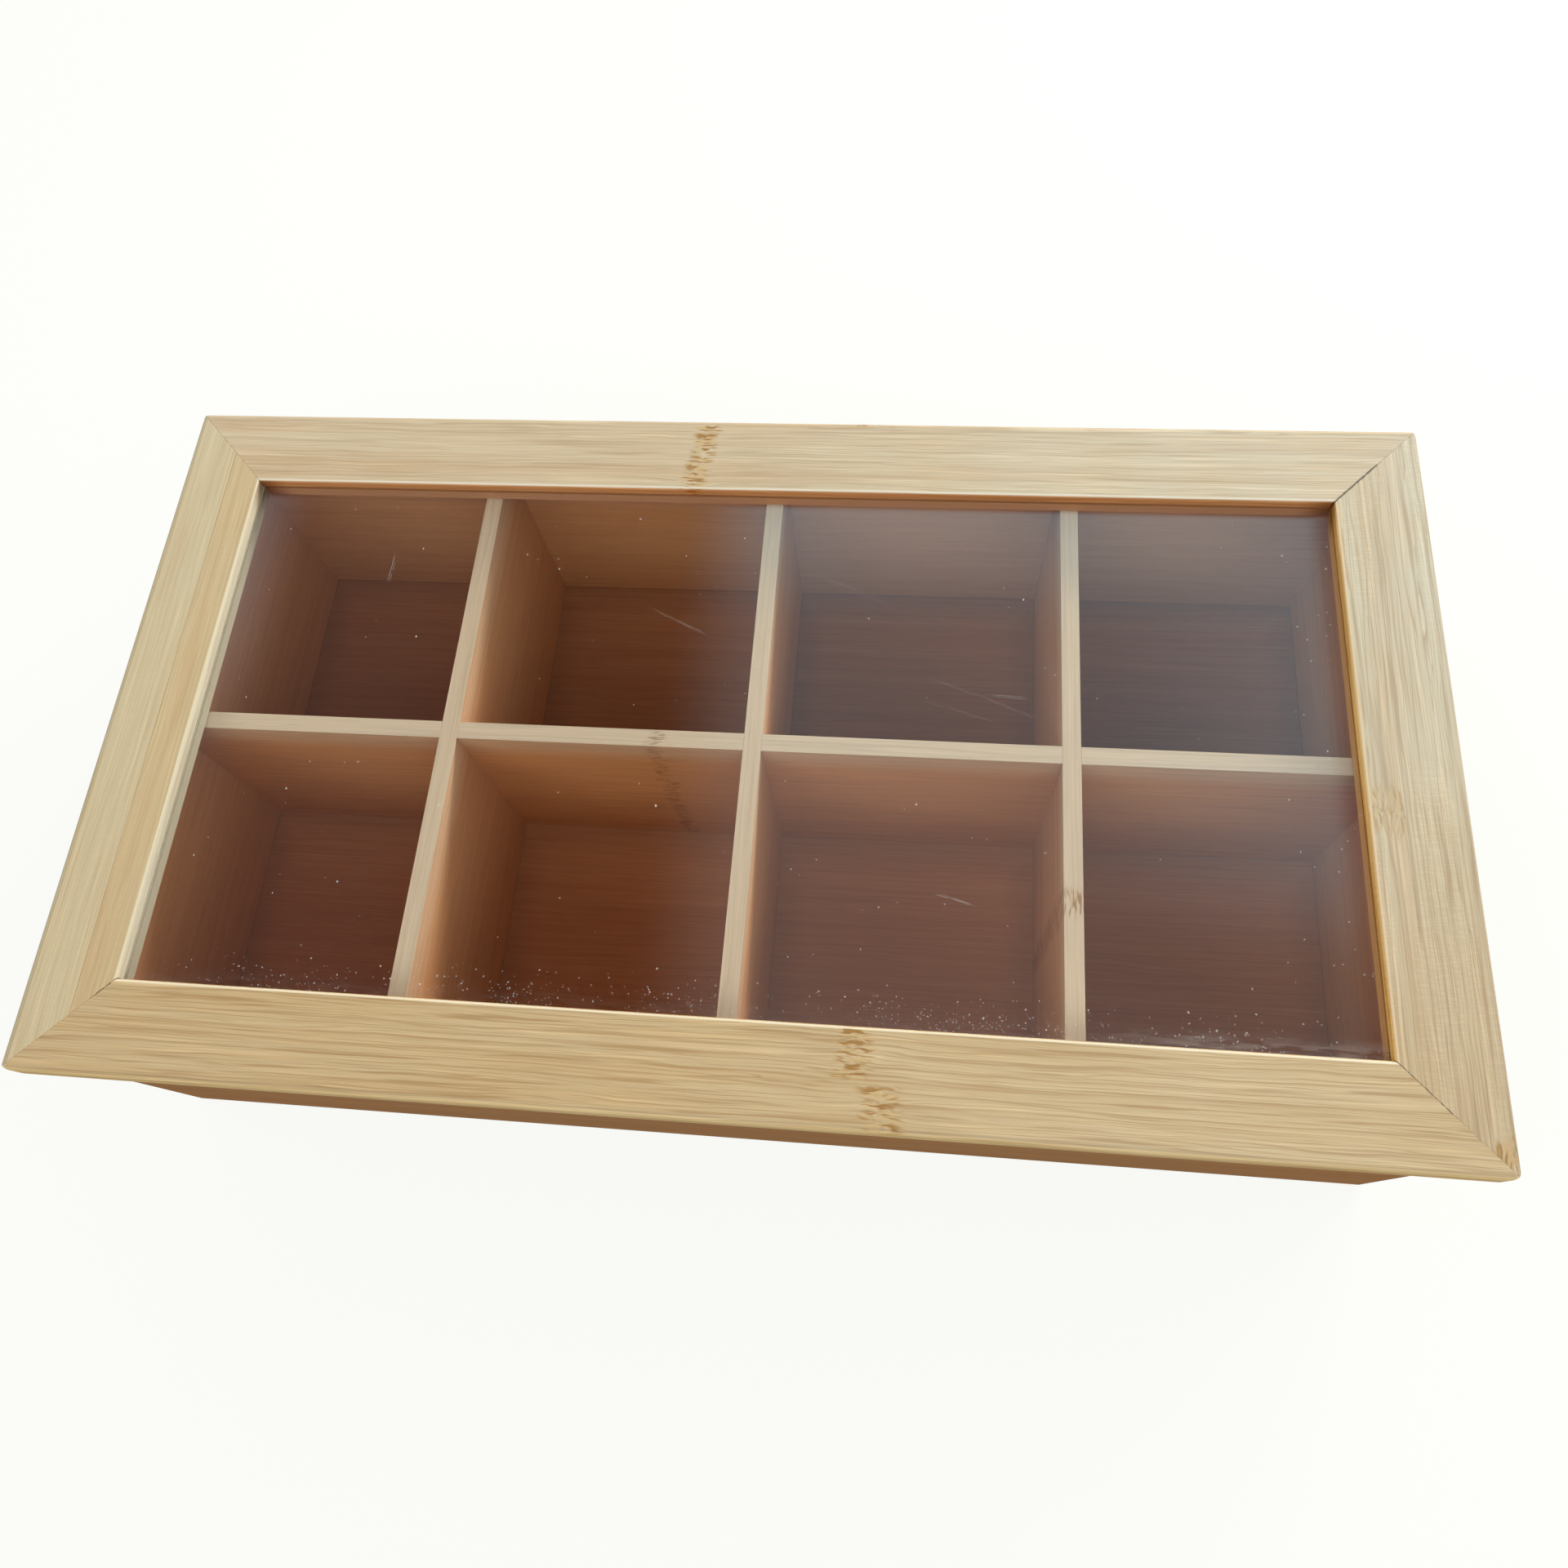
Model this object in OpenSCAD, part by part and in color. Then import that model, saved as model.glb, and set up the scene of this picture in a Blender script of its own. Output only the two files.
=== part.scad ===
// Tea bag organizer box: eight compartments under a hinged, mitred frame lid with a clear pane.
// Origin: centre of the footprint, on the surface that the box stands on.
// +X is to the right along the length, the front is towards -Y, and +Z is up.

/* [Lid] */
// Length of the lid, left to right
lid_length = 370; // [320:1:450]
// Depth of the lid, front to back
lid_depth = 205; // [170:1:260]
// Thickness of the lid frame
lid_thickness = 8; // [7:0.5:12]
// Width of each member of the frame
frame_width = 25; // [21:0.5:32]
// Rounding of the four corners of the lid, seen from above
lid_corner_radius = 3; // [1:0.5:4]
// Rounding along the outer edges of the lid
lid_edge_radius = 1.5; // [0.5:0.25:2.5]
// Rounding along the upper edge of the window
window_edge_radius = 1; // [0.5:0.25:1.5]
// How far the lid stands past the box on every side
lid_overhang = 4; // [3:0.25:6]

/* [Pane] */
// Thickness of the clear pane
pane_thickness = 2; // [1.5:0.25:2.5]
// Depth of the pane's upper face below the top of the frame
pane_drop = 3; // [2:0.25:3.5]
// How deep the pane groove is cut into the frame
pane_groove_depth = 6; // [4:0.5:7]
// Gap between the edge of the pane and the bottom of its groove
pane_edge_gap = 0.5; // [0.2:0.1:1]

/* [Mitre splines] */
// Length of a spline, along the mitre
spline_length = 12; // [8:0.5:13]
// Width of a spline, half of it in each member
spline_width = 10; // [6:0.5:11]
// Thickness of a spline
spline_thickness = 2; // [1.5:0.25:3]
// Distance from the outer edges of the lid to the centre of a spline
spline_inset = 10; // [9:0.25:11]

/* [Box] */
// Height of the whole object with the lid shut
overall_height = 90; // [70:1:120]
// Thickness of the four walls
wall_thickness = 9; // [7.5:0.5:12]
// Rounding of the four upright corners of the box
box_corner_radius = 1.5; // [0.5:0.25:3]
// Thickness of the front and back panels where they cover the end of a side panel
corner_lap = 4; // [3:0.5:5]
// Thickness of the bottom panel
floor_thickness = 4; // [3:0.25:6]
// Height of the underside of the bottom panel above the lower edge of the walls
floor_recess = 4; // [3:0.5:8]
// How deep the bottom panel's groove is cut into the walls
floor_groove_depth = 4; // [2:0.5:5]

/* [Dividers] */
// Thickness of the dividers
divider_thickness = 5; // [3:0.25:8]
// How deep the dividers' dados are cut into the walls
dado_depth = 3; // [2:0.5:5]
// How far the tops of the dividers lie below the rim
divider_drop = 0.4; // [0.2:0.1:10]

/* [Hinges] */
// Length of a hinge
hinge_length = 25; // [20:1:40]
// Distance from the end of the box to the middle of a hinge
hinge_inset = 60; // [30:1:70]
// Radius of the hinge barrel
barrel_radius = 1.8; // [1.5:0.05:2.2]
// Number of knuckles in the barrel
knuckle_count = 5; // [3:2:7]
// Radius of the hinge pin
pin_radius = 0.8; // [0.6:0.05:1]
// Thickness of a leaf
leaf_thickness = 1; // [0.8:0.05:1.2]
// Distance from the pin to the far edge of a leaf
leaf_reach = 11; // [10:0.5:14]
// Rounding of the free corners of a leaf
leaf_corner_radius = 1.5; // [0.5:0.25:3]

/* [Hinge screws] */
// Radius of a screw
screw_radius = 1; // [0.8:0.05:1.2]
// Radius of a screw head
screw_head_radius = 1.9; // [1.6:0.05:2.2]
// Length of a screw with its head
screw_length = 6; // [5:0.25:6.5]
// Length of a screw's tapered point
screw_point = 1.5; // [1:0.25:2]
// Distance from the pin to the line of screws
screw_reach = 7; // [6:0.25:7.5]
// Distance between the two screws of a leaf
screw_spacing = 14; // [10:0.5:15]
// Depth of the cross recess in a screw head
recess_depth = 0.5; // [0.3:0.05:0.7]
// Width of the cross recess in a screw head
recess_width = 0.4; // [0.3:0.05:0.5]

/* [Fits] */
// Gap between the rim of the box and the shut lid
lid_gap = 0.3; // [0.2:0.05:1]
// Gap between the barrel and whatever turns past it
barrel_gap = 0.3; // [0.2:0.05:0.5]
// Gap between two knuckles
knuckle_gap = 0.3; // [0.2:0.05:0.5]
// Radial clearance of the pin in the lid leaf's knuckles
running_clearance = 0.05; // [0.02:0.01:0.1]
// Play across a groove, dado, slot or recess in the wood
fit_gap = 0.1; // [0.05:0.05:0.3]
// Play at the end of a panel, divider or spline in its groove
end_gap = 0.3; // [0.1:0.1:1]

/* [Hidden] */
$fn = 64;

// Colours of the outer wood, the inner wood, the splines, the pane and the metal
outer_bamboo = [0.83, 0.72, 0.55];
inner_bamboo = [0.72, 0.52, 0.34];
spline_wood = [0.62, 0.44, 0.28];
clear_sheet = [0.86, 0.87, 0.90, 0.35];
brass = [0.80, 0.65, 0.35];

// Signs of the two ends and the two long sides
left = -1;
right = 1;
front = -1;
back = 1;

// How far a cutting solid runs past the face that it opens
overrun = 1;
// Number of compartments in a row
columns = 4;
// Angle of the lid's mitres
mitre_angle = 45;
// Radius at the very end of a screw
screw_tip_radius = screw_radius / 4;

// Heights above the surface that the box stands on
lid_bottom = overall_height - lid_thickness;
rim_height = lid_bottom - lid_gap;
floor_top = floor_recess + floor_thickness;
divider_top = rim_height - divider_drop;
lap_height = (floor_top + divider_top) / 2;
pane_bottom = overall_height - pane_drop - pane_thickness;

// Sizes in plan
box_length = lid_length - 2 * lid_overhang;
box_depth = lid_depth - 2 * lid_overhang;
inside_length = box_length - 2 * wall_thickness;
inside_depth = box_depth - 2 * wall_thickness;
side_panel_length = box_depth - 2 * corner_lap;
column_pitch = (inside_length + divider_thickness) / columns;

// Hinge layout: the pin is leaf_offset from the back of the box and from the floor of the lid's recess
leaf_offset = barrel_radius + barrel_gap;
hinge_x = box_length / 2 - hinge_inset;
pin_y = box_depth / 2 + leaf_offset;
pin_z = lid_bottom + leaf_thickness - leaf_offset;
knuckle_length = (hinge_length + knuckle_gap) / knuckle_count - knuckle_gap;

// What a quarter circle of radius r leaves of its square, with the square's corner on the origin
module corner_shave(r) {
    difference() {
        translate([-overrun, -overrun]) square(r + overrun);
        translate([r, r]) circle(r);
    }
}

// Rectangle centred on the origin, with its four corners rounded
module rounded_rectangle(size_x, size_y, r) {
    difference() {
        square([size_x, size_y], center = true);
        for (turn_x = [0, 1], turn_y = [0, 1])
            mirror([turn_x, 0]) mirror([0, turn_y])
                translate([-size_x / 2, -size_y / 2]) corner_shave(r);
    }
}

// Block that is centred on the origin in X and Y and stands on Z = 0
module centred_block(size_x, size_y, size_z) {
    translate([-size_x / 2, -size_y / 2, 0]) cube([size_x, size_y, size_z]);
}

// Space that the bottom panel's groove takes out of the walls, with its own length and depth
module floor_groove(size_x, size_y) {
    translate([0, 0, floor_recess]) centred_block(size_x, size_y, floor_thickness + fit_gap);
}

// Places what follows on each cross divider
module at_cross_dividers() {
    for (column = [-1 : 1]) translate([column * column_pitch, 0, 0]) children();
}

// Space that the ends of the dividers take out of the walls, open at the rim
module divider_dados() {
    dado_width = divider_thickness + fit_gap;
    translate([0, 0, floor_top]) {
        at_cross_dividers() centred_block(dado_width, inside_depth + 2 * dado_depth, rim_height);
        centred_block(inside_length + 2 * dado_depth, dado_width, rim_height);
    }
}

// Front or back panel: the full length of the box, rabbeted at both ends for the side panels
module long_panel(side) {
    difference() {
        linear_extrude(rim_height) intersection() {
            rounded_rectangle(box_length, box_depth, box_corner_radius);
            translate([0, side * (box_depth - wall_thickness) / 2])
                square([box_length, wall_thickness], center = true);
        }
        for (end = [left, right])
            translate([end * (inside_length + wall_thickness + overrun) / 2, 0, -overrun])
                centred_block(wall_thickness + overrun, side_panel_length, rim_height + 2 * overrun);
        floor_groove(inside_length + 2 * floor_groove_depth, inside_depth + 2 * floor_groove_depth);
        divider_dados();
    }
}

// Left or right panel, which stands between the laps of the front and back panels
module side_panel(end) {
    difference() {
        translate([end * (box_length - wall_thickness) / 2, 0, 0])
            centred_block(wall_thickness, side_panel_length, rim_height);
        floor_groove(inside_length + 2 * floor_groove_depth, box_depth);
        divider_dados();
    }
}

module front_panel() {
    color(outer_bamboo) long_panel(front);
}

// The back panel also has the pilot holes of the body leaves' screws
module back_panel() {
    color(outer_bamboo) difference() {
        long_panel(back);
        for (side = [left, right]) at_hinge(side) screw_seats() pilot_hole();
    }
}

module left_panel() {
    color(outer_bamboo) side_panel(left);
}

module right_panel() {
    color(outer_bamboo) side_panel(right);
}

module bottom_panel() {
    tongue = floor_groove_depth - end_gap;
    color(inner_bamboo) translate([0, 0, floor_recess])
        centred_block(inside_length + 2 * tongue, inside_depth + 2 * tongue, floor_thickness);
}

// The long divider is slotted from above where each cross divider drops over it
module long_divider() {
    color(inner_bamboo) difference() {
        translate([0, 0, floor_top])
            centred_block(inside_length + 2 * (dado_depth - end_gap), divider_thickness,
                divider_top - floor_top);
        at_cross_dividers() translate([0, 0, lap_height])
            centred_block(divider_thickness + fit_gap, divider_thickness + overrun, divider_top);
    }
}

// A cross divider is slotted from below, where it straddles the long divider
module cross_divider(column) {
    color(inner_bamboo) translate([column * column_pitch, 0, 0]) difference() {
        translate([0, 0, floor_top])
            centred_block(divider_thickness, inside_depth + 2 * (dado_depth - end_gap),
                divider_top - floor_top);
        centred_block(divider_thickness + overrun, divider_thickness + fit_gap, lap_height);
    }
}

// Cross-section of a frame member: the outer edge at X = 0 and the window edge at X = frame_width
module member_section() {
    difference() {
        square([frame_width, lid_thickness]);
        corner_shave(lid_edge_radius);
        translate([0, lid_thickness]) rotate(-90) corner_shave(lid_edge_radius);
        translate([frame_width, lid_thickness]) rotate(180) corner_shave(window_edge_radius);
        translate([frame_width - pane_groove_depth, pane_bottom - lid_bottom])
            square([pane_groove_depth + overrun, pane_thickness + fit_gap]);
    }
}

// Frame member whose outer edge faces -Y, with a mitre at each end
module frame_member(length, depth) {
    half = length / 2;
    mitre = [
        [-half, -depth / 2],
        [half, -depth / 2],
        [half - frame_width, frame_width - depth / 2],
        [frame_width - half, frame_width - depth / 2]
    ];
    difference() {
        intersection() {
            translate([-half, -depth / 2, lid_bottom])
                rotate([90, 0, 90]) linear_extrude(length) member_section();
            translate([0, 0, lid_bottom - overrun])
                linear_extrude(lid_thickness + 2 * overrun) intersection() {
                    polygon(mitre);
                    rounded_rectangle(length, depth, lid_corner_radius);
                }
        }
        for (end = [left, right])
            at_mitre(end, front, length, depth)
                spline_block(spline_length + 2 * end_gap, spline_width + 2 * end_gap, fit_gap);
    }
}

// Places what follows on the middle of a spline, with +X along the mitre
module at_mitre(end, side, length, depth) {
    translate([end * (length / 2 - spline_inset), side * (depth / 2 - spline_inset), pane_bottom])
        rotate(end * side * mitre_angle) children();
}

// A flat spline in the plane of the pane, or with play above it the slot that holds it
module spline_block(size_x, size_y, play) {
    centred_block(size_x, size_y, spline_thickness + play);
}

module mitre_spline(end, side) {
    color(spline_wood) at_mitre(end, side, lid_length, lid_depth)
        spline_block(spline_length, spline_width, 0);
}

module lid_front_rail() {
    color(outer_bamboo) frame_member(lid_length, lid_depth);
}

// The back rail has a recess for each lid leaf, open at the back over the barrel
module lid_back_rail() {
    color(outer_bamboo) difference() {
        rotate(180) frame_member(lid_length, lid_depth);
        for (side = [left, right]) at_hinge(side) {
            leaf_recess();
            in_lid_place() screw_seats() pilot_hole();
        }
    }
}

module lid_left_stile() {
    color(outer_bamboo) rotate(-90) frame_member(lid_depth, lid_length);
}

module lid_right_stile() {
    color(outer_bamboo) rotate(90) frame_member(lid_depth, lid_length);
}

module window_pane() {
    reach = 2 * (frame_width - pane_groove_depth + pane_edge_gap);
    color(clear_sheet) translate([0, 0, pane_bottom])
        centred_block(lid_length - reach, lid_depth - reach, pane_thickness);
}

// Places what follows on one hinge, with the origin in the middle of the pin
module at_hinge(side) {
    translate([side * hinge_x, pin_y, pin_z]) children();
}

// Turns a leaf or its screws from the body leaf's place, flat on the back panel, to the lid's recess
module in_lid_place() {
    rotate([-90, 0, 0]) children();
}

// Places what follows at every second knuckle, counted from knuckle number first
module at_knuckles(first) {
    for (i = [first : 2 : knuckle_count - 1])
        translate([i * (knuckle_length + knuckle_gap) - hinge_length / 2, 0, 0]) children();
}

// Round bar along +X
module bar(r, length) {
    rotate([0, 90, 0]) cylinder(r = r, h = length);
}

// Space for the lid leaf and the barrel in the underside of the back rail
module leaf_recess() {
    recess_length = hinge_length + 2 * barrel_gap;
    translate([-recess_length / 2, -leaf_reach - fit_gap, 0])
        cube([recess_length, lid_depth, leaf_offset]);
}

// Flat plate of the body leaf, which hangs from the pin with its back against the box
module leaf_plate() {
    translate([0, leaf_thickness - leaf_offset, 0])
        rotate([90, 0, 0]) linear_extrude(leaf_thickness) difference() {
            translate([-hinge_length / 2, -leaf_reach]) square([hinge_length, leaf_reach]);
            for (turn = [0, 1])
                mirror([turn, 0]) translate([-hinge_length / 2, -leaf_reach])
                    corner_shave(leaf_corner_radius);
        }
}

// Space that the other leaf's knuckles need in a plate
module knuckle_notches(first) {
    reach = leaf_offset + overrun;
    at_knuckles(first)
        translate([-knuckle_gap, -reach, -leaf_offset])
            cube([knuckle_length + 2 * knuckle_gap, reach, reach]);
}

// Leaf with its knuckles, of which the first is number first, and with a bore for the pin
module hinge_leaf(first, bore) {
    difference() {
        union() {
            difference() {
                leaf_plate();
                knuckle_notches(1 - first);
            }
            at_knuckles(first) bar(barrel_radius, knuckle_length);
        }
        translate([-hinge_length / 2 - overrun, 0, 0]) bar(bore, hinge_length + 2 * overrun);
        screw_seats() screw_blank();
    }
}

// Turns a screw, whose head faces +Z, into its places in the body leaf
module screw_seats() {
    for (end = [left, right])
        translate([end * screw_spacing / 2, leaf_thickness - leaf_offset, -screw_reach])
            rotate([-90, 0, 0]) children();
}

// Hole in the wood for a screw
module pilot_hole() {
    translate([0, 0, -screw_length]) cylinder(r = screw_radius, h = screw_length);
}

// Countersunk screw with its head's flat face on Z = 0 and its point down
module screw_blank() {
    translate([0, 0, -leaf_thickness])
        cylinder(r1 = screw_radius, r2 = screw_head_radius, h = leaf_thickness);
    translate([0, 0, screw_point - screw_length])
        cylinder(r = screw_radius, h = screw_length - screw_point - leaf_thickness);
    translate([0, 0, -screw_length])
        cylinder(r1 = screw_tip_radius, r2 = screw_radius, h = screw_point);
}

module screw() {
    difference() {
        screw_blank();
        for (turn = [0, 90])
            rotate(turn) translate([0, 0, -recess_depth])
                centred_block(2 * screw_radius, recess_width, recess_depth + overrun);
    }
}

// The body leaf grips the pin
module hinge_body_leaf(side) {
    color(brass) at_hinge(side) hinge_leaf(0, pin_radius);
}

// The lid leaf turns on the pin
module hinge_lid_leaf(side) {
    color(brass) at_hinge(side) in_lid_place() hinge_leaf(1, pin_radius + running_clearance);
}

module hinge_pin(side) {
    color(brass) at_hinge(side) translate([-hinge_length / 2, 0, 0]) bar(pin_radius, hinge_length);
}

module hinge_body_screws(side) {
    color(brass) at_hinge(side) screw_seats() screw();
}

module hinge_lid_screws(side) {
    color(brass) at_hinge(side) in_lid_place() screw_seats() screw();
}

front_panel();
back_panel();
left_panel();
right_panel();
bottom_panel();
long_divider();
cross_divider(-1);  // left_cross_divider
cross_divider(0);  // middle_cross_divider
cross_divider(1);  // right_cross_divider
lid_front_rail();
lid_back_rail();
lid_left_stile();
lid_right_stile();
window_pane();
mitre_spline(left, front);  // front_left_spline
mitre_spline(right, front);  // front_right_spline
mitre_spline(left, back);  // back_left_spline
mitre_spline(right, back);  // back_right_spline
hinge_body_leaf(left);  // left_hinge_body_leaf
hinge_lid_leaf(left);  // left_hinge_lid_leaf
hinge_pin(left);  // left_hinge_pin
hinge_body_screws(left);  // left_hinge_body_screws
hinge_lid_screws(left);  // left_hinge_lid_screws
hinge_body_leaf(right);  // right_hinge_body_leaf
hinge_lid_leaf(right);  // right_hinge_lid_leaf
hinge_pin(right);  // right_hinge_pin
hinge_body_screws(right);  // right_hinge_body_screws
hinge_lid_screws(right);  // right_hinge_lid_screws
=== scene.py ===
import math

import bpy
from mathutils import Matrix, Vector


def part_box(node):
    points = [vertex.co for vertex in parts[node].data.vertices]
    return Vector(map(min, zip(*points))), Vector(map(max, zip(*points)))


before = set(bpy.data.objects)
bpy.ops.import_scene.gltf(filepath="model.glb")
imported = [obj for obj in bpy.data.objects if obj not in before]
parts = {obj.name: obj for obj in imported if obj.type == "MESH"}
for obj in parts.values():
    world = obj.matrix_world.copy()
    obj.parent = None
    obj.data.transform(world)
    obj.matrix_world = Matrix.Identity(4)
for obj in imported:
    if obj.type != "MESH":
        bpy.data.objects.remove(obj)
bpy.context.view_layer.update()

# The four walls of the box are planed bamboo boards, 9 mm thick, the front and back ones lapped over
# the ends of the side ones and glued. They are caramel brown and matt, redder and lighter inside, with
# pale sanded upper edges. The grain of each board runs along its length. Both browns are partly
# painted shade: darker and redder than the lid's bamboo outside, for the shadow the walls stand in,
# and redder inside, for the warm shade in the compartments.


def put(tree, kind, **settings):
    """Adds a shader node of a kind to a tree, with its settings."""
    node = tree.nodes.new("ShaderNode" + kind)
    for setting, value in settings.items():
        setattr(node, setting, value)
    return node


def feed(tree, socket, value):
    """Links a socket to another one, or sets it to a number, colour or vector."""
    if isinstance(value, bpy.types.NodeSocket):
        tree.links.new(value, socket)
    elif value is not None:
        socket.default_value = value


def maths(tree, operation, first, second=None, third=None):
    """One step of arithmetic, whose terms are numbers or sockets."""
    node = put(tree, "Math", operation=operation)
    feed(tree, node.inputs[0], first)
    feed(tree, node.inputs[1], second)
    feed(tree, node.inputs[2], third)
    return node.outputs[0]


def vector_maths(tree, operation, first, second):
    """One step of vector arithmetic. SCALE takes a number as its second term."""
    node = put(tree, "VectorMath", operation=operation)
    feed(tree, node.inputs[0], first)
    feed(tree, node.inputs["Scale" if operation == "SCALE" else 1], second)
    return node.outputs[0]


def split_axes(tree, place):
    """The X, Y and Z of a vector."""
    node = put(tree, "SeparateXYZ")
    feed(tree, node.inputs[0], place)
    return node.outputs


def fade(tree, value, begin, finish, first=0.0, last=1.0):
    """A smooth step that goes from first to last as value goes from begin to finish."""
    node = put(tree, "MapRange", interpolation_type="SMOOTHSTEP")
    feed(tree, node.inputs["Value"], value)
    feed(tree, node.inputs["From Min"], begin)
    feed(tree, node.inputs["From Max"], finish)
    feed(tree, node.inputs["To Min"], first)
    feed(tree, node.inputs["To Max"], last)
    return node.outputs["Result"]


def tint(tree, share, below, above, blend="MIX"):
    """Lays the colour above over the colour below by a share."""
    node = put(tree, "Mix", data_type="RGBA", blend_type=blend)
    feed(tree, node.inputs["Factor"], share)
    feed(tree, node.inputs[6], below)
    feed(tree, node.inputs[7], above)
    return node.outputs[2]


def grain_noise(tree, place, cell, detail=2.0, roughness=0.5):
    """Noise whose cells have the given size in metres along, across and into the board."""
    stretch = put(tree, "Mapping")
    feed(tree, stretch.inputs["Vector"], place)
    stretch.inputs["Scale"].default_value = [1 / size for size in cell]
    node = put(tree, "TexNoise")
    feed(tree, node.inputs["Vector"], stretch.outputs["Vector"])
    node.inputs["Scale"].default_value = 1.0
    node.inputs["Detail"].default_value = detail
    node.inputs["Roughness"].default_value = roughness
    return node.outputs["Fac"]


def swing(tree, value, amount):
    """Turns a value from 0 to 1 into one from minus to plus half the amount."""
    return maths(tree, "MULTIPLY", maths(tree, "SUBTRACT", value, 0.5), amount)


def shader_group(name, inputs, outputs):
    """A shader node group with named inputs (kind and value) and named outputs (kind)."""
    tree = bpy.data.node_groups.new(name, "ShaderNodeTree")
    for label, (kind, value) in inputs.items():
        socket = tree.interface.new_socket(label, in_out="INPUT", socket_type="NodeSocket" + kind)
        if value is not None:
            socket.default_value = value
    for label, kind in outputs.items():
        tree.interface.new_socket(label, in_out="OUTPUT", socket_type="NodeSocket" + kind)
    return tree, tree.nodes.new("NodeGroupInput"), tree.nodes.new("NodeGroupOutput")


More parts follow.
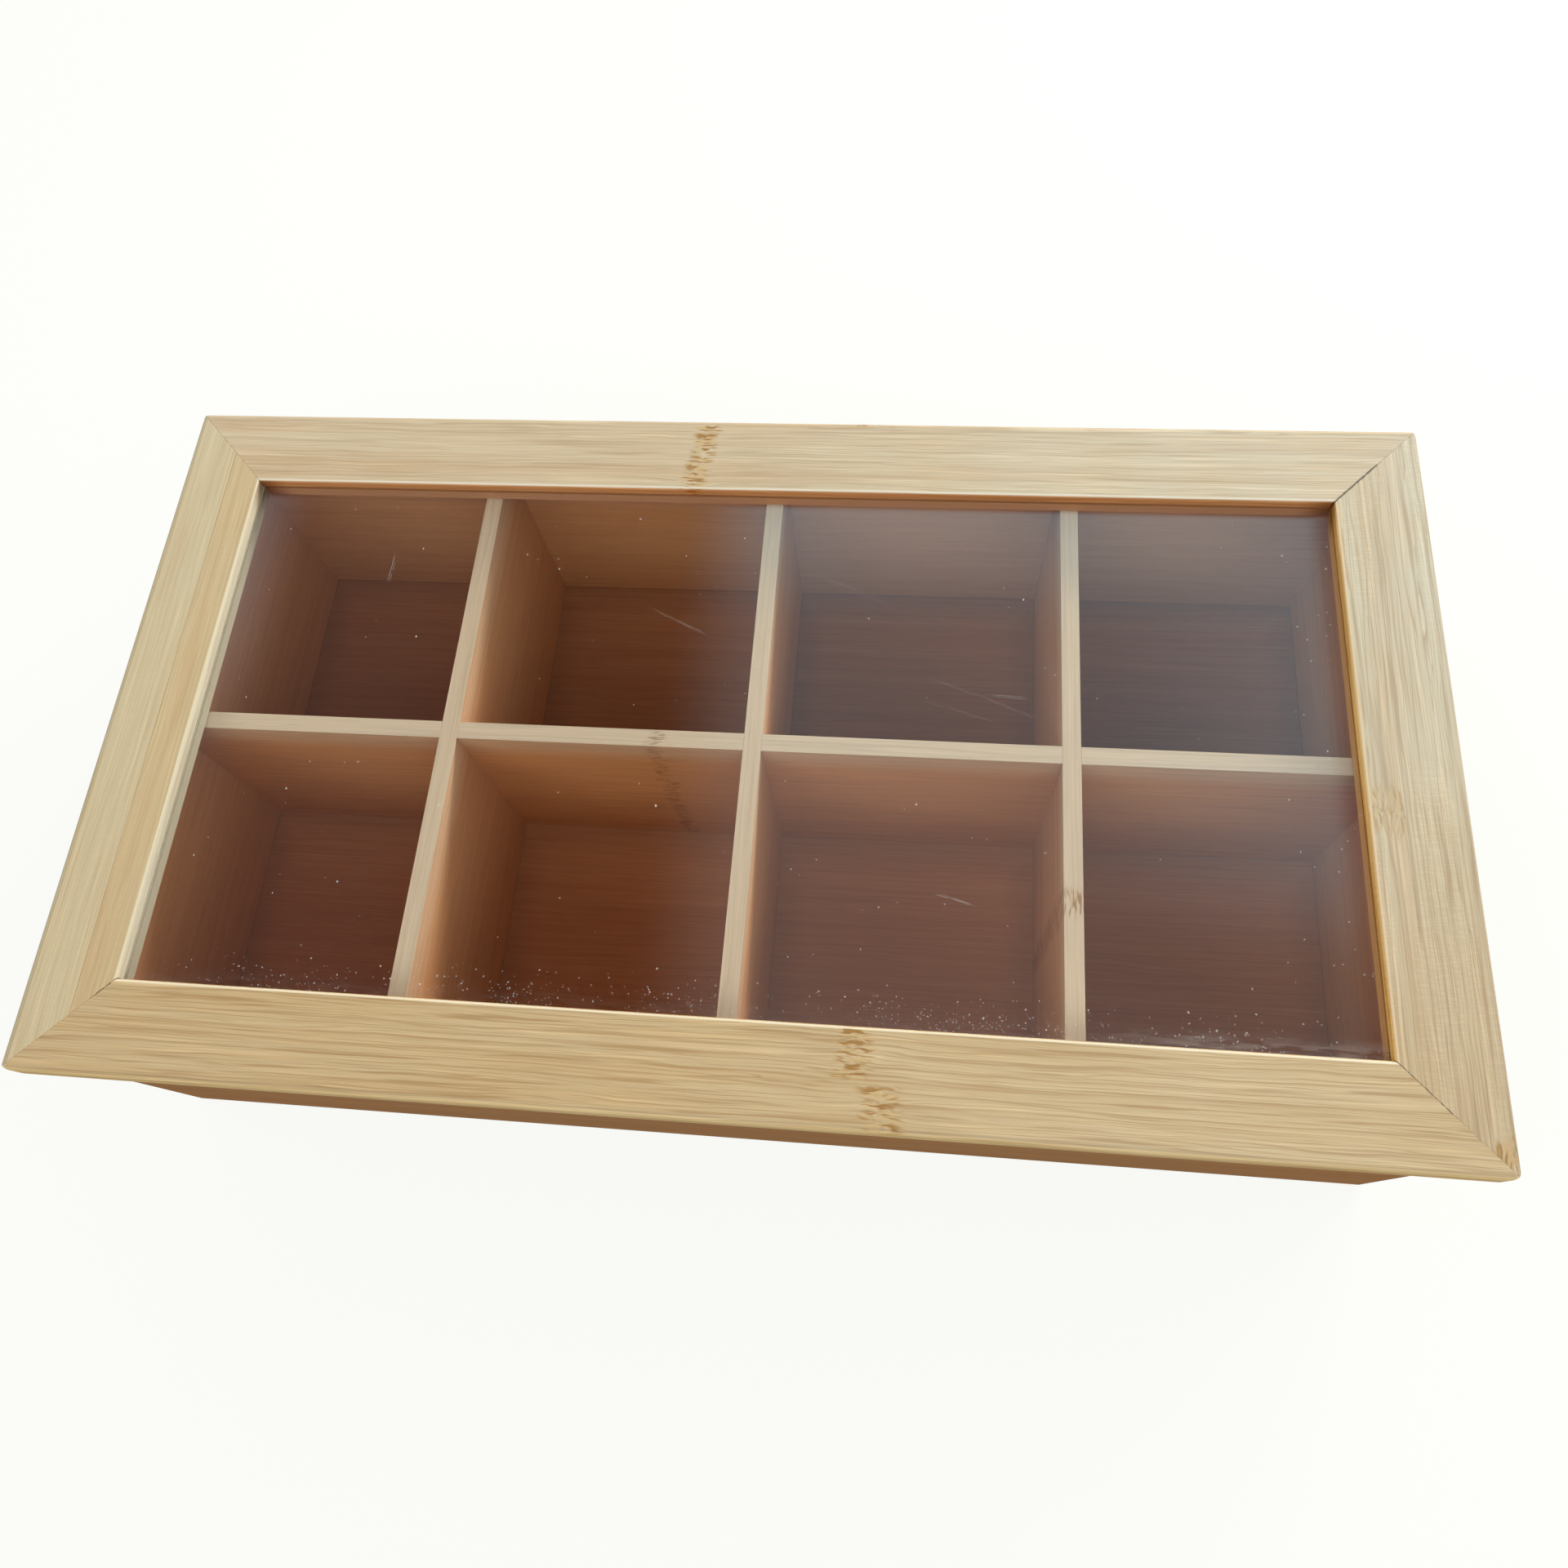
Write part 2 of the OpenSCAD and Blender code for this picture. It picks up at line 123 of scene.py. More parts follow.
def bamboo_grain_group():
    """Planed bamboo: bands, fibres, the tapering dark ends of the fibre bundles, and fine cross flecks.
    Place is along, across and into the board. Knots and Stain are masks of a culm node."""
    tree, given, made = shader_group(
        "bamboo_grain",
        {
            "Place": ("Vector", None),
            "Seed": ("Float", 0.0),
            "Ground": ("Color", (0.62, 0.50, 0.31, 1)),
            "Band": ("Color", (0.58, 0.41, 0.22, 1)),
            "Streak": ("Color", (0.36, 0.22, 0.10, 1)),
            "Bands": ("Float", 0.5),
            "Streaks": ("Float", 0.6),
            "Fibres": ("Float", 0.12),
            "Flecks": ("Float", 0.0),
            "Strips": ("Float", 0.0),
            "Strip Width": ("Float", 0.009),
            "Knots": ("Float", 0.0),
            "Stain": ("Float", 0.0),
            "Knot Colour": ("Color", (0.34, 0.160, 0.018, 1)),
            "Stain Colour": ("Color", (0.57, 0.385, 0.150, 1)),
            "Base Roughness": ("Float", 0.5),
        },
        {"Colour": "Color", "Roughness": "Float", "Height": "Float"},
    )
    sway_cell, sway = (0.10, 0.016, 0.016), 0.0022
    wave_cell, wave = (0.018, 0.005, 0.005), 0.0006
    band_cell, tone_cell = (0.20, 0.0045, 0.0045), (0.09, 0.020, 0.020)
    streak_cell, fibre_cell = (0.055, 0.0013, 0.0013), (0.026, 0.00050, 0.00050)
    fleck_cell, patch_cell = (0.00042, 0.0030, 0.0030), (0.080, 0.0100, 0.0100)

    seed_step = (0.731, 0.117, 0.193)
    offset = vector_maths(tree, "SCALE", seed_step, given.outputs["Seed"])
    moved = vector_maths(tree, "ADD", given.outputs["Place"], offset)
    bend = swing(tree, grain_noise(tree, moved, sway_cell, 1.0), sway)
    ripple = maths(tree, "SUBTRACT", grain_noise(tree, moved, wave_cell, 1.0), 0.5)
    bend = maths(tree, "MULTIPLY_ADD", ripple, wave, bend)
    sideways = put(tree, "CombineXYZ")
    feed(tree, sideways.inputs["Y"], bend)
    feed(tree, sideways.inputs["Z"], bend)
    wood = vector_maths(tree, "ADD", moved, sideways.outputs[0])

    # glued strips, each with its own tone and a fine dark glue line
    axes = split_axes(tree, given.outputs["Place"])
    step = maths(tree, "DIVIDE", axes["Y"], given.outputs["Strip Width"])
    step = maths(tree, "ADD", step, given.outputs["Seed"])
    number = put(tree, "TexWhiteNoise", noise_dimensions="1D")
    feed(tree, number.inputs["W"], maths(tree, "FLOOR", step))
    share = maths(tree, "FRACT", step)
    beside = maths(tree, "ABSOLUTE", maths(tree, "SUBTRACT", share, 0.5))
    glue = fade(tree, beside, 0.478, 0.5)
    glue = maths(tree, "MULTIPLY", glue, given.outputs["Strips"])
    strip_tone = swing(tree, number.outputs["Value"], given.outputs["Strips"])

    # the dark edges of the fibre bundles: long lines, sharp on one side, that fade in and out
    wooden = split_axes(tree, wood)
    across = maths(tree, "MULTIPLY_ADD", wooden["Z"], 0.6, wooden["Y"])
    lines = 0.0
    for period, wander, strength, drift_cell, shown_cell in (
        (0.0026, 4.2, 0.66, (0.17, 0.011, 0.011), (0.060, 0.0024, 0.0024)),
        (0.00120, 5.2, 0.78, (0.12, 0.006, 0.006), (0.040, 0.0013, 0.0013)),
        (0.00060, 5.0, 0.70, (0.08, 0.003, 0.003), (0.026, 0.0008, 0.0008)),
    ):
        drift = maths(tree, "MULTIPLY", grain_noise(tree, wood, drift_cell, 1.5), wander)
        phase = maths(tree, "FRACT", maths(tree, "ADD", maths(tree, "DIVIDE", across, period), drift))
        edge = maths(tree, "MULTIPLY", fade(tree, phase, 0.62, 0.95), fade(tree, phase, 1.0, 0.95))
        edge = maths(tree, "POWER", edge, 1.5)
        shown = fade(tree, grain_noise(tree, wood, shown_cell, 1.0), 0.38, 0.55)
        edge = maths(tree, "MULTIPLY", edge, shown)
        lines = maths(tree, "MAXIMUM", lines, maths(tree, "MULTIPLY", edge, strength))
    tone = grain_noise(tree, wood, tone_cell, 1.0)
    band = fade(tree, grain_noise(tree, wood, band_cell, 2.0), 0.36, 0.64)
    band = maths(tree, "MULTIPLY", band, fade(tree, tone, 0.35, 0.60, 0.45, 1.0))
    strip_band = 1.2
    band = maths(tree, "ADD", band, maths(tree, "MULTIPLY", strip_tone, strip_band))
    band = maths(tree, "MULTIPLY", band, given.outputs["Bands"])
    bundle = grain_noise(tree, wood, streak_cell, 2.2, 0.55)
    fibre = grain_noise(tree, wood, fibre_cell, 2.0, 0.6)
    streak = maths(tree, "MULTIPLY", fade(tree, bundle, 0.545, 0.69), 0.8)
    dark = maths(tree, "MAXIMUM", streak, lines)
    dark = maths(tree, "MULTIPLY", dark, given.outputs["Streaks"])
    pale = maths(tree, "MULTIPLY", fade(tree, bundle, 0.44, 0.31), given.outputs["Streaks"])
    rung = grain_noise(tree, wood, fleck_cell, 1.0)
    patch = fade(tree, grain_noise(tree, wood, patch_cell, 1.0), 0.42, 0.58)
    fleck = maths(tree, "MULTIPLY", fade(tree, rung, 0.46, 0.62), patch)
    fleck = maths(tree, "MULTIPLY", fleck, given.outputs["Flecks"])

    colour = tint(tree, band, given.outputs["Ground"], given.outputs["Band"])
    shade = swing(tree, fibre, given.outputs["Fibres"])
    shade = maths(tree, "MULTIPLY_ADD", shade, 2.0, 1.0)
    for mask, lightening in ((strip_tone, 0.10), (pale, 0.19), (fleck, 0.085)):
        shade = maths(tree, "ADD", shade, maths(tree, "MULTIPLY", mask, lightening))
    lit = vector_maths(tree, "SCALE", colour, shade)
    colour = tint(tree, dark, lit, given.outputs["Streak"])
    colour = tint(tree, maths(tree, "MULTIPLY", glue, 0.5), colour, given.outputs["Streak"])
    colour = tint(tree, given.outputs["Stain"], colour, given.outputs["Stain Colour"])
    colour = tint(tree, given.outputs["Knots"], colour, given.outputs["Knot Colour"])
    feed(tree, made.inputs["Colour"], colour)

    dark_rough, shade_rough = 0.10, 0.05
    rough = maths(tree, "MULTIPLY_ADD", dark, dark_rough, given.outputs["Base Roughness"])
    rough = maths(tree, "ADD", rough, maths(tree, "MULTIPLY", shade, shade_rough))
    feed(tree, made.inputs["Roughness"], rough)
    height = maths(tree, "MULTIPLY", fibre, 0.40)
    knots = given.outputs["Knots"]
    for mask, rise in ((dark, -0.22), (glue, -0.8), (fleck, 0.12), (knots, -0.35)):
        height = maths(tree, "ADD", height, maths(tree, "MULTIPLY", mask, rise))
    feed(tree, made.inputs["Height"], height)
    return tree


bamboo_grain = bamboo_grain_group()
ALONG_X = 0.0
ALONG_Y = -math.pi / 2


def new_material(name):
    """A material and its shader tree."""
    material = bpy.data.materials.new(name)
    material.use_nodes = True
    return material, material.node_tree


def bamboo_board(name, turn, seed, bump=0.00008, specular=0.35, **look):
    """A bamboo finish: its place in the board, the grain, its gloss and its relief. look names the
    grain group's own inputs."""
    material, tree = new_material(name)
    shader = tree.nodes["Principled BSDF"]
    shader.inputs["Specular IOR Level"].default_value = specular
    where = put(tree, "TexCoord")
    lie = put(tree, "Mapping")
    lie.inputs["Rotation"].default_value = (0, 0, turn)
    tree.links.new(where.outputs["Object"], lie.inputs["Vector"])
    grain = put(tree, "Group", node_tree=bamboo_grain)
    grain.inputs["Seed"].default_value = seed
    for label, value in look.items():
        grain.inputs[label.replace("_", " ")].default_value = value
    relief = put(tree, "Bump")
    relief.inputs["Distance"].default_value = bump
    relief.inputs["Strength"].default_value = 1.0
    tree.links.new(lie.outputs["Vector"], grain.inputs["Place"])
    tree.links.new(grain.outputs["Colour"], shader.inputs["Base Color"])
    tree.links.new(grain.outputs["Roughness"], shader.inputs["Roughness"])
    tree.links.new(grain.outputs["Height"], relief.inputs["Height"])
    tree.links.new(relief.outputs["Normal"], shader.inputs["Normal"])
    return {
        "material": material,
        "tree": tree,
        "shader": shader,
        "grain": grain,
        "colour": grain.outputs["Colour"],
        "relief": relief,
        "object": where.outputs["Object"],
        "place": lie.outputs["Vector"],
    }


def dress(piece, board):
    """Gives a CAD node its finish."""
    node = parts[piece]
    for place in node.material_slots:
        place.material = board["material"]


# partly painted shade: the walls' outer tones are darker and redder than the lid's bamboo, for the shadow
# the walls stand in
outer_tone = (0.44, 0.245, 0.115, 1)
outer_band = (0.38, 0.195, 0.083, 1)
outer_streak = (0.24, 0.115, 0.045, 1)
# partly painted warm shade: the inside tone is redder than the lid's bamboo
inner_tone = (0.62, 0.325, 0.150, 1)
inner_edge = (0.72, 0.575, 0.405, 1)
inner_x, inner_y = 0.172, 0.0895
rim_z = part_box("front_panel")[1].z


def inside_tone(board, colour):
    """Gives a wall's board its own tone on the faces that look into the compartments, redder than the
    lid's bamboo as partly painted warm shade, and a pale sanded upper edge."""
    tree = board["tree"]
    axes = split_axes(tree, board["object"])
    past_x = maths(tree, "SUBTRACT", maths(tree, "ABSOLUTE", axes["X"]), inner_x)
    past_y = maths(tree, "SUBTRACT", maths(tree, "ABSOLUTE", axes["Y"]), inner_y)
    past = maths(tree, "MAXIMUM", past_x, past_y)
    inside = fade(tree, past, 0.0006, 0.0001)
    under = fade(tree, axes["Z"], rim_z - 0.0001, rim_z - 0.0012)
    share = maths(tree, "MULTIPLY", inside, under)
    ratio = [colour[i] / outer_tone[i] for i in range(3)] + [1]
    mixed = tint(tree, share, board["grain"].outputs["Colour"], ratio, "MULTIPLY")
    mixed = tint(tree, maths(tree, "MULTIPLY", share, 0.35), mixed, colour)
    sanded = fade(tree, axes["Z"], rim_z - 0.0006, rim_z - 0.0001, 0.0, 0.55)
    ratio = [inner_edge[i] / outer_tone[i] for i in range(3)] + [1]
    mixed = tint(tree, sanded, mixed, ratio, "MULTIPLY")
    tree.links.new(mixed, board["shader"].inputs["Base Color"])


for seed, (piece, turn) in enumerate(
    [
        ("front_panel", ALONG_X),
        ("back_panel", ALONG_X),
        ("left_panel", ALONG_Y),
        ("right_panel", ALONG_Y),
    ],
    start=11,
):
    wall = bamboo_board(
        "wall_" + piece,
        turn,
        seed,
        Ground=outer_tone,
        Band=outer_band,
        Streak=outer_streak,
        Bands=0.45,
        Streaks=0.34,
        Base_Roughness=0.6,
        specular=0.0,
    )
    inside_tone(wall, inner_tone)
    dress(piece, wall)

# The bottom is a thin bamboo ply panel that slides in grooves of the four walls, 4 mm above the
# table. Its grain runs along the box, and it is red-brown and nearly matt. Painted shade darkens it
# where it meets the walls and the dividers, with a fine dark line at the joints, and painted light
# makes it paler in the front row and a little darker in the back row.

bottom = bamboo_board(
    "bottom_ply",
    ALONG_X,
    21,
    Ground=(0.55, 0.260, 0.120, 1),
    Band=(0.47, 0.195, 0.080, 1),
    Streak=(0.27, 0.105, 0.042, 1),
    Bands=0.40,
    Streaks=0.24,
    Base_Roughness=0.65,
    specular=0.08,
)
tree = bottom["tree"]
axes = split_axes(tree, bottom["object"])
divider_pitch, divider_half = 0.08725, 0.0025
beyond_x = maths(tree, "SUBTRACT", inner_x, maths(tree, "ABSOLUTE", axes["X"]))
beyond_y = maths(tree, "SUBTRACT", inner_y, maths(tree, "ABSOLUTE", axes["Y"]))
from_cross = maths(tree, "PINGPONG", axes["X"], divider_pitch / 2)
from_cross = maths(tree, "SUBTRACT", from_cross, divider_half)
from_long = maths(tree, "SUBTRACT", maths(tree, "ABSOLUTE", axes["Y"]), divider_half)
joint = maths(tree, "MINIMUM", maths(tree, "MINIMUM", beyond_x, beyond_y), from_long)
joint = maths(tree, "MINIMUM", joint, from_cross)
# painted shade on the floor's top face towards the walls and dividers, darkest in a fine line at the joints
soft_shade, seam_shade = 0.20, 0.34
corner = maths(tree, "MULTIPLY", fade(tree, joint, 0.012, 0.0), soft_shade)
seam = maths(tree, "MULTIPLY", fade(tree, joint, 0.0008, 0.0002), seam_shade)
corner = maths(tree, "MAXIMUM", corner, seam)
floor_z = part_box("bottom_panel")[1].z
upper = fade(tree, axes["Z"], floor_z - 0.001, floor_z - 0.0002)
corner = maths(tree, "MULTIPLY", corner, upper)
shaded = tint(tree, corner, bottom["grain"].outputs["Colour"], (0.10, 0.035, 0.014, 1))
# painted light: the front row of the floor paler, the back row darker
back_row, front_row = 0.90, 1.17
row_light = maths(tree, "SUBTRACT", fade(tree, axes["Y"], 0.004, -0.004, back_row, front_row), 1.0)
toned = vector_maths(tree, "SCALE", shaded, maths(tree, "MULTIPLY_ADD", row_light, upper, 1.0))
tree.links.new(toned, bottom["shader"].inputs["Base Color"])
dress("bottom_panel", bottom)

# Four dividers of 5 mm bamboo make two rows of four compartments: one long one, and three cross ones
# that are halved over it. They stand in shallow dados of the walls. Their tops are sanded pale, and a
# small culm node shows on two of them. Their sides are redder than the tops, partly painted warm
# shade, and painted light makes the sides paler just below the tops.


def culm_node_group():
    """The band where a culm node crosses a board: short dark dashes, an orange stain, and streaks
    that bend and change there."""
    tree, given, made = shader_group(
        "culm_node",
        {
            "Place": ("Vector", None),
            "Along": ("Float", 0.0),
            "Slant": ("Float", 0.0),
            "Spread": ("Float", 0.006),
            "From": ("Float", -1.0),
            "To": ("Float", 1.0),
            "Seed": ("Float", 0.0),
            "Strength": ("Float", 1.0),
            "Shift": ("Float", 1.0),
        },
        {"Place": "Vector", "Knots": "Float", "Stain": "Float"},
    )
    dash_cell, blot_cell = (0.0044, 0.00066, 0.00066), (0.0070, 0.0013, 0.0013)
    axes = split_axes(tree, given.outputs["Place"])
    shift = put(tree, "CombineXYZ")
    feed(tree, shift.inputs["X"], given.outputs["Seed"])
    feed(tree, shift.inputs["Y"], given.outputs["Seed"])
    seeded = vector_maths(tree, "ADD", given.outputs["Place"], shift.outputs[0])
    wander = grain_noise(tree, seeded, (0.03, 0.0035, 0.0035), 2.0)
    wander = swing(tree, wander, 0.007)
    centre = maths(tree, "MULTIPLY_ADD", axes["Y"], given.outputs["Slant"], given.outputs["Along"])
    away = maths(tree, "SUBTRACT", axes["X"], centre)
    away = maths(tree, "SUBTRACT", away, wander)
    near = maths(tree, "DIVIDE", maths(tree, "ABSOLUTE", away), given.outputs["Spread"])
    band = fade(tree, near, 1.1, 0.35)
    edge_low = maths(tree, "SUBTRACT", axes["Y"], given.outputs["From"])
    edge_high = maths(tree, "SUBTRACT", given.outputs["To"], axes["Y"])
    held = fade(tree, maths(tree, "MINIMUM", edge_low, edge_high), -0.0008, 0.0012)
    band = maths(tree, "MULTIPLY", band, held)
    band = maths(tree, "MULTIPLY", band, given.outputs["Strength"])
    swell = maths(tree, "MULTIPLY", fade(tree, near, 3.5, 0.0, 0.0, 0.0022), held)
    lift = grain_noise(tree, seeded, (0.02, 0.006, 0.006), 1.0)
    lift = swing(tree, lift, swell)
    beyond = maths(tree, "MULTIPLY", fade(tree, away, -0.002, 0.002, 0.0, 0.0021), given.outputs["Shift"])
    beyond = maths(tree, "MULTIPLY", beyond, held)
    bent = put(tree, "CombineXYZ")
    feed(tree, bent.inputs["Y"], lift)
    feed(tree, bent.inputs["Z"], maths(tree, "ADD", lift, beyond))
    moved = vector_maths(tree, "ADD", given.outputs["Place"], bent.outputs[0])
    curl = grain_noise(tree, seeded, (0.0050, 0.0030, 0.0030), 1.0)
    curled = put(tree, "CombineXYZ")
    feed(tree, curled.inputs["Y"], maths(tree, "MULTIPLY", curl, 0.0020))
    marked = vector_maths(tree, "ADD", seeded, curled.outputs[0])
    dash = fade(tree, grain_noise(tree, marked, dash_cell, 1.5), 0.48, 0.62)
    feed(tree, made.inputs["Knots"], maths(tree, "MULTIPLY", dash, band))
    blot = fade(tree, grain_noise(tree, marked, blot_cell, 1.5), 0.40, 0.58)
    feed(tree, made.inputs["Stain"], maths(tree, "MULTIPLY", blot, maths(tree, "MULTIPLY", band, 0.75)))
    feed(tree, made.inputs["Place"], moved)
    return tree


culm_node = culm_node_group()


def set_culm_nodes(board, marks):
    """Puts culm nodes in a board. Each mark names the inputs of the culm node group."""
    tree = board["tree"]
    place, knots, stain = board["place"], 0.0, 0.0
    for mark in marks:
        node = put(tree, "Group", node_tree=culm_node)
        for label, value in mark.items():
            node.inputs[label].default_value = value
        tree.links.new(place, node.inputs["Place"])
        place = node.outputs["Place"]
        knots = maths(tree, "MAXIMUM", knots, node.outputs["Knots"])
        stain = maths(tree, "MAXIMUM", stain, node.outputs["Stain"])
    tree.links.new(place, board["grain"].inputs["Place"])
    tree.links.new(knots, board["grain"].inputs["Knots"])
    tree.links.new(stain, board["grain"].inputs["Stain"])


divider_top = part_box("long_divider")[1].z


def pale_top(board, ground, top, colour):
    """Lightens the sanded upper edge of a divider, and paints light on its sides for a little way below
    that.
    """
    tree = board["tree"]
    axes = split_axes(tree, board["object"])
    share = fade(tree, axes["Z"], top - 0.0006, top - 0.0001, 0.0, 0.55)
    # painted light on the upper part of the divider's sides
    share = maths(tree, "ADD", share, fade(tree, axes["Z"], top - 0.014, top - 0.002, 0.0, 0.45))
    ratio = [colour[i] / ground[i] for i in range(3)]
    scaled = vector_maths(tree, "MULTIPLY", board["grain"].outputs["Colour"], ratio)
    mixed = tint(tree, share, board["grain"].outputs["Colour"], scaled)
    tree.links.new(mixed, board["shader"].inputs["Base Color"])


long_mark = {"Along": -0.0279, "Spread": 0.0028, "From": -0.003, "To": 0.003, "Seed": 0.27, "Shift": 0.0}
cross_mark = {"Along": -0.0409, "Spread": 0.0048, "From": -0.090, "To": -0.084, "Seed": 0.91, "Shift": 0.0}
# partly painted warm shade: the long divider's sides are redder still
warm_tone = (0.64, 0.298, 0.118, 1)
for seed, (piece, turn, ground, marks) in enumerate(
    [
        ("long_divider", ALONG_X, warm_tone, [long_mark]),
        ("left_cross_divider", ALONG_Y, inner_tone, []),
        ("middle_cross_divider", ALONG_Y, inner_tone, []),
        ("right_cross_divider", ALONG_Y, inner_tone, [cross_mark]),
    ],
    start=31,
):
    divider = bamboo_board(
        "finish_" + piece,
        turn,
        seed,
        Ground=ground,
        Band=(0.55, 0.260, 0.110, 1),
        Streak=(0.33, 0.15, 0.060, 1),
        Bands=0.40,
        Streaks=0.28,
        Base_Roughness=0.6,
        Knot_Colour=(0.34, 0.125, 0.045, 1),
        Stain_Colour=(0.55, 0.260, 0.105, 1),
        specular=0.08,
    )
    if marks:
        set_culm_nodes(divider, marks)
    pale_top(divider, ground, divider_top, inner_edge)
    dress(piece, divider)

# Each of the two small butt hinges is of pressed brass sheet: one leaf on the back wall, one in a
# recess under the lid, and five knuckles round a steel pin. Four brass screws hold each hinge.


def metal_group():
    """Rolled sheet metal: fine rolling lines, dull patches and small pits."""
    tree, given, made = shader_group(
        "rolled_metal",
        {
            "Place": ("Vector", None),
            "Bright": ("Color", (0.80, 0.60, 0.28, 1)),
            "Dull": ("Color", (0.52, 0.36, 0.15, 1)),
            "Base Roughness": ("Float", 0.28),
        },
        {"Colour": "Color", "Roughness": "Float", "Height": "Float"},
    )
    line = grain_noise(tree, given.outputs["Place"], (0.012, 0.00025, 0.00025), 2.0)
    cloud = fade(tree, grain_noise(tree, given.outputs["Place"], (0.004, 0.004, 0.004), 3.0), 0.4, 0.7)
    pit = fade(tree, grain_noise(tree, given.outputs["Place"], (0.0006, 0.0006, 0.0006), 1.0), 0.66, 0.74)
    dirt = maths(tree, "MAXIMUM", maths(tree, "MULTIPLY", cloud, 0.6), pit)
    feed(tree, made.inputs["Colour"], tint(tree, dirt, given.outputs["Bright"], given.outputs["Dull"]))
    rough = maths(tree, "MULTIPLY_ADD", dirt, 0.20, given.outputs["Base Roughness"])
    rough = maths(tree, "ADD", rough, maths(tree, "MULTIPLY", line, 0.12))
    feed(tree, made.inputs["Roughness"], rough)
    height = maths(tree, "SUBTRACT", maths(tree, "MULTIPLY", line, 0.3), pit)
    feed(tree, made.inputs["Height"], height)
    return tree


rolled_metal = metal_group()


def metal(name, bright, dull, roughness):
    """A metal finish from the rolled metal group."""
    material, tree = new_material(name)
    shader = tree.nodes["Principled BSDF"]
    shader.inputs["Metallic"].default_value = 1.0
    where = put(tree, "TexCoord")
    sheet = put(tree, "Group", node_tree=rolled_metal)
    sheet.inputs["Bright"].default_value = bright
    sheet.inputs["Dull"].default_value = dull
    sheet.inputs["Base Roughness"].default_value = roughness
    relief = put(tree, "Bump")
    relief.inputs["Distance"].default_value = 0.00003
    tree.links.new(where.outputs["Object"], sheet.inputs["Place"])
    tree.links.new(sheet.outputs["Colour"], shader.inputs["Base Color"])
    tree.links.new(sheet.outputs["Roughness"], shader.inputs["Roughness"])
    tree.links.new(sheet.outputs["Height"], relief.inputs["Height"])
    tree.links.new(relief.outputs["Normal"], shader.inputs["Normal"])
    return {"material": material}


leaf_brass = metal("leaf_brass", (0.80, 0.60, 0.28, 1), (0.50, 0.34, 0.14, 1), 0.26)
screw_brass = metal("screw_head_brass", (0.74, 0.54, 0.24, 1), (0.36, 0.24, 0.10, 1), 0.32)
pin_steel = metal("pin_steel_finish", (0.62, 0.61, 0.59, 1), (0.36, 0.35, 0.34, 1), 0.30)
for side in ("left", "right"):
    dress(side + "_hinge_body_leaf", leaf_brass)
    dress(side + "_hinge_lid_leaf", leaf_brass)
    dress(side + "_hinge_body_screws", screw_brass)
    dress(side + "_hinge_lid_screws", screw_brass)
    dress(side + "_hinge_pin", pin_steel)

# The lid's frame is two rails and two stiles of solid bamboo, 25 mm wide and 8 mm thick, mitred at the
# corners and sanded with soft arrises. Straw-coloured flat grain, with a culm node in three of them.
# Both stiles are glued up of strips, and the left one shows its glue line.

window_x, window_y, corner_line = 0.160, 0.0775, 0.0825
pane_z, pane_half = 0.086, 0.001
lid_half_x, lid_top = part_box("lid_front_rail")[1].x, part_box("lid_front_rail")[1].z
lid_half_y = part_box("lid_back_rail")[1].y


def either(tree, share, below, above):
    """Goes from one number to another by a share."""
    node = put(tree, "Mix", data_type="FLOAT")
    feed(tree, node.inputs["Factor"], share)
    feed(tree, node.inputs[2], below)
    feed(tree, node.inputs[3], above)
    return node.outputs[0]


